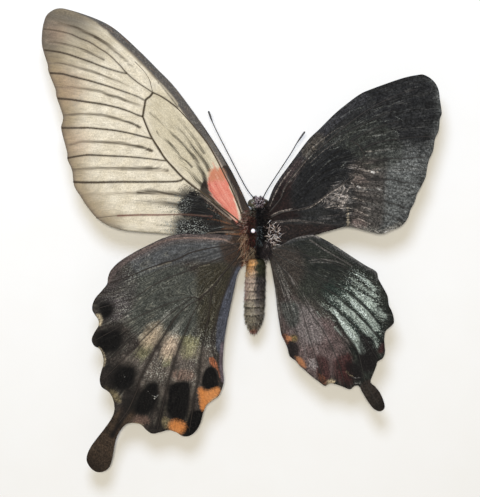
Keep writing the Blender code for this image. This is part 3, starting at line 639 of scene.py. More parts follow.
wings.append({      # charcoal, rubbed and creased towards the inner margin
    "name": "forewingRight", "node": "forewing_right", "slot": "black_scales", "hind": False,
    "root": (262, 220),
    "outline": (
        7,11.4, 9.3,16.8, 14.1,23.5, 18.1,28.8, 21,31.6, 24.8,35.4, 27.9,38, 31.4,40.6, 34.3,42, 42.4,44.9,
        46.6,45.9, 48.8,46, 51.2,44.5, 52.6,42.2, 53,39.4, 53.5,36, 53,34.4, 52.7,31.4, 51.7,29.1, 51.2,26,
        50.1,23.5, 49.6,21.4, 49.2,19, 48,16.4, 46.9,14.4, 46.2,12.2, 45.2,10.4, 44.4,8, 42.8,6.1, 40.4,5,
        37.8,4, 35.2,4.3, 33,4.9, 30.2,5.6, 27.8,5.8, 23.9,4.8, 19.6,3.5, 15.9,2.3, 12.5,1.2, 8.8,1.3, 5.2,3.6,
        4.9,7, 5.2,9.4),
    "flowEdges": ((0, 0, 11), (12, 33, 39)),
    "flow": ((2, 0), (3, 1), (4, 2), (5, 3), (6, 4), (7, 5), (8, 6), (9, 7), (10.5, 9),
             (8, 262,220, 270,218, 280,213, 290,211, 300,209, 310,206, 318,201, 326,195, 333,190, 343,183),
             (10.5, 350,222, 362,226, 376,230, 392,230), (9.3, 264,220, 285,216, 305,214, 325,212, 343,212)),
    "tubes": (
        (0.1,0.26, 428,88, 405,92, 380,103, 356,118, 336,134, 320,148, 312,154, 304,162, 296,172, 288,182,
         283,190, 281,198, 268,214),
        (0.1,0.12, 436,101, 402,108, 378,117, 355,128, 336,136),
        (0.1,0.12, 438,117, 410,120, 385,125, 365,133, 350,141),
        (0.11,0.13, 434,136, 410,137.5, 400,139, 392,140, 380,142, 368,146, 361,150),
        (0.11,0.13, 428,157, 410,158, 400,159, 392,158.5, 383,160, 374,161, 363,160),
        (0.11,0.14, 421,184, 402,182, 393,180, 383,179.5, 370,179.5, 357,181, 347,182),
        (0.11,0.14, 409,209, 400,206, 390,203, 380,200, 368,198.5, 360,197, 338,192),
        (0.11,0.14, 401,221, 390,215, 378,212.5, 368,209.5, 360,205, 345,205, 326,198),
        (0.16,0.24, 350,141, 358,145, 361,150, 364,155, 361,162, 355,171, 347,180, 338,187, 333,190, 326,195,
         318,201, 310,206, 300,209, 290,211, 280,213, 270,218, 262,222),
        (0.12,0.18, 346,223, 335,225, 322,224, 310,222, 300,221, 283,221, 275,222, 264,224)),
    "veinTones": ("1C1A19", "3A322C"),
    "crumple": {"worn": 0.1, "tatter": 0.1},
    "marks": {
        "costaGrey": (("edge", 2.4, 3, (1, 7)),),
        "outerGrey": (
            ("area", 11, (372,165, 400,150, 434,148, 426,185, 410,215, 385,235, 364,231, 362,200, 366,180)),
            ("edge", 0.9, 4.5, (12, 27))),
        "apexDark": (("area", 11, (352,105, 400,78, 436,84, 440,118, 430,150, 395,140, 365,128)),),
        "brownOuter": (("area", 4, (356,160, 384,158, 385,185, 380,229, 352,228, 354,200, 352,175)),),
        "darkCell": (("area", 8, (292,200, 298,176, 318,156, 350,146, 356,166, 342,182, 315,198, 298,207)),),
        "veinDark": (
            ("vein", 0.5, 0.9, (0.6, 1, 3), (0.6, 1, 4), (0.5, 1, 5), (0.5, 1, 6), (0.5, 1, 7)),
            ("vein", 0.4, 0.9, (0.5, 0.9, 1), (0.5, 0.9, 2)),
            ("line", 0.5, 0.6, (0.8,1, 343,183, 326,195, 310,206, 290,211, 270,218))),
        "foldPale": (
            ("line", 0.5, 1.3, (0.5,0.9, 425,169, 405,169, 385,170, 368,171),
             (0.4,0.9, 415,197, 396,193, 378,190, 358,189), (0.4,0.8, 430,147, 408,148, 385,150, 368,153)),
            ("line", 0.4, 1.2, (0.4,0.8, 405,215, 385,208, 368,203), (0.3,0.7, 434,126, 405,129, 375,136),
             (0.2,0.6, 432,94, 400,102, 365,118, 330,146), (0.5,0.7, 322,138, 312,150, 300,165, 291,180))),
        "baseRed": (("area", 5, (262,212, 274,192, 282,182, 290,183, 291,203, 300,217, 282,222, 264,224)),),
        "innerDark": (
            ("area", 1.6, (268,226, 300,224, 345,227.5, 330,231, 300,240, 285,244, 270,246, 262,236)),),
        "worn": (
            ("area", 3.4, (334,186, 344,183, 350,192, 351,208, 345,212, 338,205, 328,201)),
            ("line", 0.9, 2.2, (0.3,0.8, 306,205, 322,201, 338,198)),
            ("line", 0.6, 1.8, (0.7,0.2, 350,168, 358,168, 372,173), (0.7,0.2, 350,186, 362,187, 380,189)),
            ("line", 0.6, 1.6, (0.6,0.2, 350,204, 362,206, 372,210)),
            ("line", 0.5, 1.4, (0.5,0.2, 318,219, 328,219, 336,221))),
        "tatter": (("line", 0.45, 1.4, (0.6,1, 348,205, 347.5,214, 348,225)),),
        "pinkEdge": (("area", 2, (352,221, 359,220, 366,224, 366,229, 353,227)),),
        "paleLines": (
            ("line", 0.04, 0.28, (0.8,0.7, 281.5,197, 283.5,190, 288.5,182, 296.5,172.5),
             (0.3,0.9, 298,210.4, 310,207.4, 318,202.4, 326,196.4), (0.5,0.9, 330,205, 337,202, 344,200),
             (0.8,0.5, 334,196, 338,192, 341,187), (0.5,0.9, 343,206, 346,201, 348,195),
             (0.9,0.5, 331,200, 336,197, 342,196), (0.6,0.9, 338,206, 342,203, 345,199),
             (0.6,0.9, 326,208, 334,206, 342,206), (0.8,0.4, 352,198, 358,199, 364,202),
             (0.7,0.4, 350,176, 356,174, 362,176), (0.7,0.4, 350,181, 354,186, 357,192),
             (0.7,0.1, 306,221.6, 318,222.5, 332,223.6), (0.5,0.9, 268,218, 278,212, 292,209)),
            ("line", 0.03, 0.25, (0.6,0.2, 296.5,172.5, 304.5,162.5, 312.5,154.5, 320,148.5),
             (0.5,0.8, 270,206, 276,192, 283,180, 291,170), (0.6,0.2, 312,148, 322,140, 334,131, 346,124),
             (0.5,0.2, 310,163, 322,152, 336,143, 350,137), (0.5,0.8, 322,201.5, 331,202.3, 342,203.2),
             (0.3,0.8, 352,208, 360,212, 368,216), (0.4,0.8, 356,218, 364,221, 370,224)),
            ("line", 0.05, 0.28, (1,0.5, 324,197.5, 333,191.5, 338,188.5, 343,184.5),
             (0.6,0.9, 345,197, 347,191, 350,187)),
            ("line", 0.05, 0.3, (0.3,1, 336,208.5, 340,206, 346,201.5), (0.9,0.9, 338,199, 342,193, 345,187),
             (0.2,0.9, 357,203.5, 363,207, 370,209.5)),
            ("line", 0.12, 0.3, (0.6,1, 270,223, 278,221.6, 288,220.9)),
            ("line", 0.14, 0.3, (1,0.7, 288,220.9, 298,220.8, 306,221.6)),
            ("line", 0.05, 0.35, (0.6,0.2, 366,151.5, 376,151, 386,150.5)),
            ("line", 0.08, 0.4, (0.9,0.3, 363,170.5, 371,171.5, 378,171.5),
             (0.9,0.3, 357,186.5, 364,188, 372,188.5))),
        # bright dots on the scratches: painted glints
        "scratchGlints": (
            ("line", 0.18, 0.4, (1,1, 371.5,172, 374,173)),
            ("line", 0.16, 0.4, (1,0.8, 357.5,186.5, 359.5,187.5)),
            ("line", 0.12, 0.4, (0.6,0.6, 377,188, 379.5,189.5)),
            ("line", 0.2, 0.4, (1,0.9, 385,232.2, 394,229.5))),
        "marginDark": (("edge", 0.15, 0.8, (0, 31)),),
        "olive": (("area", 6, (330,140, 352,124, 380,122, 398,140, 400,160, 372,170, 350,150)),),
        "hem": (("edge", 1, 2, (28, 33)),),
        "wornLines": (
            ("area", 4, (352,166, 376,164, 380,182, 374,192, 354,190),
             (322,196, 344,186, 350,200, 346,216, 330,212)),
            ("area", 3, (350,208, 362,210, 364,228, 352,228))),
        "costaRed": (("area", 3, (276,200, 284,176, 298,158, 304,162, 294,178, 288,196, 284,212, 272,214)),),
        # pale lines across the veins: painted glints along the wing's wrinkles
        "wrinkleGlints": (
            ("line", 0.03, 0.28, (0.4,0.9, 352.5,130, 365,125, 376,121), (0.8,0.3, 376,121, 382,122, 390,120),
             (0.3,0.8, 350,133, 358,131, 366,130), (0.7,0.5, 368,131, 376,127, 384,127),
             (0.7,0.5, 366,137, 376,135.5, 388,136.5), (0.4,0.8, 384,141, 390,138, 398,139),
             (0.8,0.4, 366,155.6, 374,154, 383,152.5), (0.3,0.6, 330,175, 336,170, 344,168),
             (0.5,0.7, 340,118, 352,111, 364,107), (0.3,0.7, 366,114, 378,108, 392,106),
             (0.6,0.3, 372,117, 382,114, 396,112), (0.3,0.7, 318,172, 328,162, 338,156),
             (0.6,0.3, 306,184, 314,175, 322,168), (0.5,0.5, 324,146, 336,138, 348,133),
             (0.5,0.3, 388,161, 398,160, 410,162), (0.5,0.3, 386,176, 398,176, 410,179),
             (0.5,0.3, 378,194, 390,196, 402,201), (0.5,0.3, 384,146, 398,146, 412,145)),
            ("line", 0.05, 0.3, (0.8,0.4, 396,117, 400,119, 404,122), (0.9,0.6, 309,158, 314,153, 319,148),
             (0.8,0.5, 341,167, 344,164, 348,161)),
            ("line", 0.06, 0.3, (0.9,0.4, 393,130, 396,132, 399,136)),
            ("line", 0.04, 0.28, (0.8,0.4, 312,166, 316,162, 321,157), (0.6,0.8, 328,150, 334,149, 339,147))),
        "tanPatch": (("area", 4, (302,152, 308,141, 318,134, 324,138, 316,148, 306,158)),),
    },
    "look": {
        "base": "171717", "baseOther": "252524", "fibre": 0.5, "grain": 0.7, "blotch": 0.6, "blotchSize": 0.65,
        "calm": "scratchGlints",
        "paint": (
            ("costaGrey", "444246", 0.25, -0.5), ("outerGrey", "585956", 0.9, -0.3),
            ("apexDark", "1E1E1F", 0.3, 0.2), ("brownOuter", "38322D", 0.78, 0.4),
            ("darkCell", "0D0D0E", 0.85, 0.3), ("olive", "33352E", 0.5, 0.6), ("tanPatch", "4C4438", 0.5, 0.5),
            ("costaRed", "35241F", 0.45, 0.5), ("costaRed", "7E645C", 0.25, 2),
            ("foldPale", "5C5B56", 0.6, -0.6), ("hair", "6C6A64", 0.18, 0), ("hem", "6F6B63", 0.65, 0.5),
            ("veinDark", "0F0F0F", 0.85, 0.3), ("baseRed", "120706", 0.9, 0.4), ("baseRed", "6A4A40", 0.07, 2),
            ("innerDark", "1A120F", 0.86, -0.4), ("innerDark", "7A6058", 0.1, 2),
            ("wornLines", "84746A", 0.42, 2), ("worn", "A39A92", 0.15, -0.5), ("worn", "C6BDB4", 0.38, 2),
            ("tatter", "968A76", 0.8, -0.6), ("pinkEdge", "74625C", 0.4, -0.6),
            # wrinkleGlints are painted glints along the wrinkles
            ("paleLines", "A4988C", 0.9, 0.2), ("wrinkleGlints", "84857C", 0.42, 0.3),
            ("scratchGlints", "D5CFC6", 0.95, 0.1), ("marginDark", "131313", 0.35, 0.2)),
    },
})
wings.append({      # brown black with pale patches, black spots, orange at the inner corner and a long tail
    "name": "hindwingLeft", "node": "hindwing_left", "slot": "brown_scales", "hind": True, "root": (247, 243),
    "outline": (
        3.4,2.6, -4.5,3.7, -10.6,3.8, -15.9,3.8, -19.9,2.9, -23.9,1.1, -27.8,-0.9, -31.8,-3.4, -34.1,-5.7,
        -34.9,-7.6, -35.2,-9.4, -36.7,-11.3, -38.2,-13, -39,-14.7, -39.1,-16.3, -38.3,-17.7, -37.5,-18.9,
        -37.5,-20.5, -38.6,-22.3, -39.3,-24.2, -38.6,-25.8, -37.2,-26.6, -36.3,-28.6, -36.2,-30.6, -36.8,-32.7,
        -37.2,-34.8, -36.7,-36.7, -35.1,-37.8, -34,-39.2, -33.4,-41.2, -33.4,-43.3, -34.3,-45.4, -36.2,-48.1,
        -39.6,-52.6, -40.8,-55.8, -40,-58, -38.4,-59.3, -36.6,-59.4, -35,-58.4, -34.1,-56.3, -33,-50.9,
        -31.7,-48.2, -30.1,-46.6, -28.1,-46.3, -26.2,-46.8, -24.8,-48.2, -23.3,-49.1, -21.4,-48.8, -19,-48.2,
        -16.9,-48.8, -15.2,-49.8, -13.4,-49.7, -11.8,-48.5, -10.6,-46.5, -9.7,-43.3, -8.9,-41.6, -7.4,-40.4,
        -5.8,-39.2, -4.8,-37.2, -4.3,-34.8, -4.6,-30.9, -4.3,-25.5, -3.4,-19.5, -1.6,-11, -0.7,-7, 0.5,-4.5,
        1.8,-2.7, 3.6,-0.6),
    "flowEdges": ((0, 0, 8), (10, 59, 66)),
    "flow": ((1.5, 0), (3, 1), (4, 2), (5, 3), (7, 5), (8, 6), (7.5, 7), (9, 9), (6, 200,299, 187,306, 175,318,
             165,334, 155,350, 147,365, 140,380, 135,395, 128,410, 118,425, 108,445, 98,462)),
    "tubes": (
        (0.11,0.2, 110,283, 130,276, 152,267, 160,264.5, 165,262.5, 172,261, 180,258, 190,253, 205,249, 223,246,
         243,243),
        (0.12,0.2, 96,309, 120,302, 135,298, 140,294, 145,291, 150,287, 170,277, 193,269, 200,265, 208,263,
         225,256, 242,247),
        (0.11,0.14, 94,341, 110,332, 128,322, 148,312, 170,303, 186,298),
        (0.12,0.14, 101,381, 115,368, 130,352, 150,332, 172,312, 192,298),
        (0.16,0.19, 118,424, 128,410, 135,395, 138,388, 140,380, 143,372, 147,365, 152,357, 155,350, 160,342,
         165,334, 170,326, 175,318, 187,306, 200,299),
        (0.12,0.17, 157,431, 161,412, 164,400, 166,392, 168,383, 170,375, 173,367, 175,360, 177,353, 180,345,
         183,338, 192,316, 203,296),
        (0.12,0.16, 189,433, 191,420, 193,408, 194,398, 196,390, 198,382, 199,372, 200,363, 201,355, 203,345,
         208,320, 209,312, 210,305, 211,295, 213,287),
        (0.16,0.24, 200,299, 203,295, 207,292, 213,287, 217,282, 222,275, 228,268, 233,262, 238,256, 243,247),
        (0.14,0.16, 186,298, 193,297, 200,299),
        (0.11,0.18, 222,385, 216,370, 213,350, 212,335, 215,325, 222,300, 228,285, 232,275, 240,260)),
    "veinTones": ("1A1613", "352B22"),
    "marks": {
        "greenGrey": (("area", 6, (128,272, 160,266, 188,268, 206,296, 196,332, 160,345, 132,330, 118,300)),),
        "slate": (
            ("area", 3.4, (130,262, 150,252, 172,243, 222,240, 233,250, 214,261, 190,261, 160,268, 140,274)),),
        "brownLeft": (("area", 5, (96,306, 108,280, 130,268, 138,285, 132,305, 112,322, 100,318)),),
        "olive": (("area", 4, (200,266, 222,262, 232,272, 226,300, 214,330, 200,335, 196,300)),),
        "baseFur": (("area", 3, (222,238, 250,240, 247,262, 234,266, 222,255)),),
        "blueBand": (
            ("area", 1.4, (241,262, 243,266, 237,286, 230,316, 228,340, 226,352, 220,354, 216,344, 218,318,
             226,290, 234,270)),),
        "greyMid": (
            ("area", 4.5, (134,352, 158,338, 196,345, 212,352, 204,385, 190,400, 160,396, 138,384, 120,362)),),
        "patchOne": (("area", 6, (151,326, 158,324, 161,328, 159,336, 154,343, 146,346, 144,338)),),
        "patchTwo": (("area", 5, (166,340, 172,334, 177,338, 175,350, 170,357, 164,357, 163,348)),),
        "patchThree": (("area", 5, (186,342, 196,342, 196,350, 191,356, 185,356, 183,349)),),
        "rosy": (("area", 2.6, (174,371, 192,371, 192,380, 175,380), (130,415, 146,416, 148,424, 130,424)),),
        "veinDark": (
            ("line", 0.5, 0.9, (0.9,0.5, 160,264.5, 172,261, 182,257, 190,253)),
            ("vein", 0.3, 0.8, (0.5, 0.5, 1), (0.6, 0.5, 2)),
            ("vein", 0.4, 0.9, (0.7, 0.5, 3)),
            ("vein", 0.8, 1.1, (1, 0.4, 6)),
            ("line", 1.1, 1.3, (1,0.6, 112,436, 120,422, 135,395, 140,380, 147,365, 155,350, 165,334, 175,318)),
            ("line", 0.9, 1.2, (1,0.6, 157,431, 164,400, 168,383, 173,367, 177,353, 183,338, 190,320)),
            ("vein", 0.3, 0.7, (0.6, 0.8, 9), (0.7, 0.9, 7)),
            ("line", 0.3, 0.7, (0.7,0.8, 186,262, 205,256, 224,250, 243,244))),
        "sideOlive": (
            ("line", 0.5, 1, (0.7,0.2, 160,430, 168,400, 172,383, 177,367),
             (0.6,0.2, 127,430, 140,400, 146,380)),
            ("line", 0.4, 0.9, (0.7,0.3, 186,430, 190,405, 194,385))),
        "spots": (
            ("area", 4, (95,334, 106,328, 120,329, 124,340, 118,352, 104,354, 96,350),
             (96,306, 106,300, 114,304, 114,314, 104,320)),
            ("area", 4.2, (112,372, 122,364, 136,366, 137,378, 130,390, 118,391, 111,384)),
            ("area", 3.4, (146,383, 158,382, 160,394, 154,410, 144,416, 133,413, 134,402)),
            ("area", 2.2, (170,384, 189,382, 190,400, 186,418, 178,422, 167,413, 167,398)),
            ("area", 1.2, (208,367, 214,368, 218,378, 217.5,388, 210,390.5, 202,386, 203,374)),
            ("area", 1.6, (192,412, 200,410, 203.5,412, 201,428, 193,436, 184,437, 186,424))),
        "tail": (
            ("area", 1.6,
             (126,404, 136,412, 126,428, 118,446, 113,470, 100,478, 86,472, 82,456, 100,430, 112,418)),),
        "orange": (
            ("area", 1.8, (199,388, 208,391, 218,387.5, 219,394, 211,402, 205,411, 202,410, 200,402)),
            ("area", 2.8, (171,422, 177,421, 184,424, 184,431, 178,434, 173,432, 169,427))),
        "creamNotch": (
            ("area", 1, (96,314, 100,314, 102.5,320, 100,326, 97,322)),
            ("line", 0.35, 0.6, (0.9,0.7, 99,348, 103,353, 105,360, 103.5,366)),
            ("line", 0.2, 0.4, (0.7,0.7, 128,424.5, 136,423.5, 143,425.5)),
            ("line", 0.15, 0.4, (0.7,0.7, 206,405.5, 212,400, 218,396.5))),
        "frontBand": (("edge", 1.5, 1, (1, 5)), ("edge", 1.5, 1.4, (5, 9))),
        "frontLine": (
            ("line", 0.16, 0.3, (0.3,1, 141,251, 155,244.5, 166,240.5, 180,238.3, 200,238, 224,239.5)),
            ("line", 0.14, 0.3, (0.9,0.2, 224,239.5, 232,243, 237,247))),
        "frontDark": (("edge", 0.15, 0.7, (1, 30)),),
        "paleLines": (
            ("line", 0.25, 0.6, (0.4,1, 149,269.5, 157,267, 164,264.5, 171,262.5)),
            ("line", 0.16, 0.35, (0.2,1, 198,297.5, 203,293.5, 207,290.5)),
            ("line", 0.12, 0.3, (0.8,0.2, 207,290.5, 216,281, 224,271),
             (0.2,0.8, 193,270.5, 201,266.6, 209,264.4), (0.6,0.2, 214,296, 213.5,312, 211,330))),
        "scratches": (
            ("line", 0.08, 0.4, (0.6,0.7, 144,258, 147,256.5, 150,254.5), (0.6,0.6, 138,255.5, 141,254.5)),
            ("line", 0.08, 0.3, (0.5,0.5, 131,262, 134,260, 139,258)),
            ("line", 0.02, 0.5, (0.5,0.6, 148,391.5, 149,392.5), (0.5,0.8, 152,395.5, 155.5,397),
             (0.6,0.8, 154,399, 158.5,395)),
            ("line", 0.02, 0.4, (0.5,0.5, 123.5,375, 125,378))),
        "powder": (
            ("line", 0.8, 2.6, (0.5,1, 162,320, 168,312, 176,306, 190,296)),
            ("line", 0.6, 2, (0.8,0.3, 190,297, 200,294)),
            ("area", 5, (126,268, 138,268, 140,280, 130,284), (104,300, 126,294, 130,312, 110,320)),
            ("area", 4, (150,322, 164,320, 164,332, 152,334), (164,330, 184,330, 184,342, 166,342),
             (184,334, 216,330, 214,352, 200,352)),
            ("line", 0.6, 2.4, (0.3,0.5, 146,296, 160,286, 176,278)),
            ("area", 6, (144,360, 166,360, 162,384, 140,380)),
            ("area", 3, (192,360, 198,360, 195,385, 190,384))),
        "orangeRing": (
            ("area", 1, (209,357.5, 213,357.5, 217,363, 218.5,371, 215,368, 211,365)),
            ("line", 0.25, 0.6, (0.8,0.5, 216,364, 219,372, 219.5,381))),
        "patchOlive": (
            ("area", 4, (146,342, 154,344, 148,356, 140,360, 136,354)),
            ("area", 3, (164,354, 172,352, 170,364, 163,366)),
            ("area", 2.6, (182,336, 198,338, 198,346, 182,344))),
        "lilac": (
            ("area", 3, (177,361, 196,361, 195,370, 176,370)),
            ("area", 5, (106,302, 126,296, 132,308, 122,320, 110,318))),
        "lobes": (
            ("area", 2.5, (99,372, 108,364, 114,376, 112,390, 104,391, 99,384)),
            ("area", 2.2, (150,426, 162,424, 163,434, 152,435)),
            ("area", 1.6, (126,392, 134,392, 134,406, 124,420, 118,420))),
        "orangePale": (
            ("area", 1.5, (207,391, 219,388, 220,394, 210,402, 205,398),
             (170,429, 180,430, 181,434, 171,433)),),
        "tan": (
            ("area", 2.4, (104,387, 112,389, 119,396, 120,402, 112,399)),
            ("area", 2, (162,418, 169,419, 170,428, 163,428))),
        "frontPale": (("edge", 2.2, 2.4, (1, 6)),),
        "innerEdge": (("edge", 0.9, 0.8, (59, 61)),),
        "faintDust": (
            ("area", 4, (112,368, 140,366, 140,390, 116,392), (100,440, 116,440, 108,470, 90,470)),
            ("area", 8, (120,270, 210,262, 220,320, 205,385, 130,385, 105,330))),
        "patchWhite": (
            ("line", 1.6, 2.4, (0.3,0.9, 182,318, 177,326, 173,334)),
            ("line", 1.2, 2.2, (0.8,0.4, 168,314, 161,323, 156,330))),
    },
    "look": {
        "base": "2A2521", "baseOther": "352F2A", "fibre": 0.5, "grain": 0.42, "blotch": 0.34, "blotchSize": 0.5,
        "calm": "orange",
        "paint": (
            ("greenGrey", "3D3F39", 0.85, -0.4), ("olive", "2B2619", 0.85, -0.4),
            ("brownLeft", "3A3433", 0.6, -0.4), ("slate", "494A4A", 0.85, -0.25),
            ("lilac", "544C4C", 0.45, -0.6), ("hair", "6F6B5E", 0.3, 0), ("greyMid", "584F47", 0.8, -0.4),
            ("patchOlive", "6A6648", 0.7, -0.5), ("patchThree", "8C8664", 0.85, -0.3),
            ("patchOne", "A8947A", 0.9, -0.3), ("patchTwo", "B49E86", 0.95, -0.3),
            ("patchWhite", "8E8C82", 0.5, -0.5), ("rosy", "7C6052", 0.4, 0.5), ("powder", "B5B6A8", 0.34, 1),
            ("faintDust", "8E8C80", 0.1, 1), ("faintDust", "6E6C60", 0.3, 2),
            ("blueBand", "42444C", 0.85, -0.4), ("innerEdge", "5A4E52", 0.8, 0.5),
            ("sideOlive", "4A4535", 0.6, 0.4), ("baseFur", "33251B", 0.8, 0.5), ("tail", "34291F", 0.9, 0.3),
            ("tan", "6E6248", 0.8, 0.5), ("veinDark", "15110F", 0.95, 0.25), ("lobes", "1C1816", 0.8, 0.4),
            ("spots", "040303", 1, 0.25), ("spots", "3A3531", 0.14, 1), ("orangeRing", "8A5236", 0.9, -0.6),
            ("orange", "BC763E", 0.95, 0.25), ("orangePale", "D09460", 0.2, 0.2),
            ("creamNotch", "AFA083", 0.8, 0.2), ("frontPale", "5C5653", 0.65, 0.4),
            ("frontBand", "554A46", 0.85, 0.3), ("frontDark", "241D1B", 0.6, 0.2),
            ("frontLine", "93796A", 0.8, 0.1), ("paleLines", "7A7364", 0.7, 0.3),
            ("scratches", "C2BDB2", 0.7, 0.5)),
    },
})
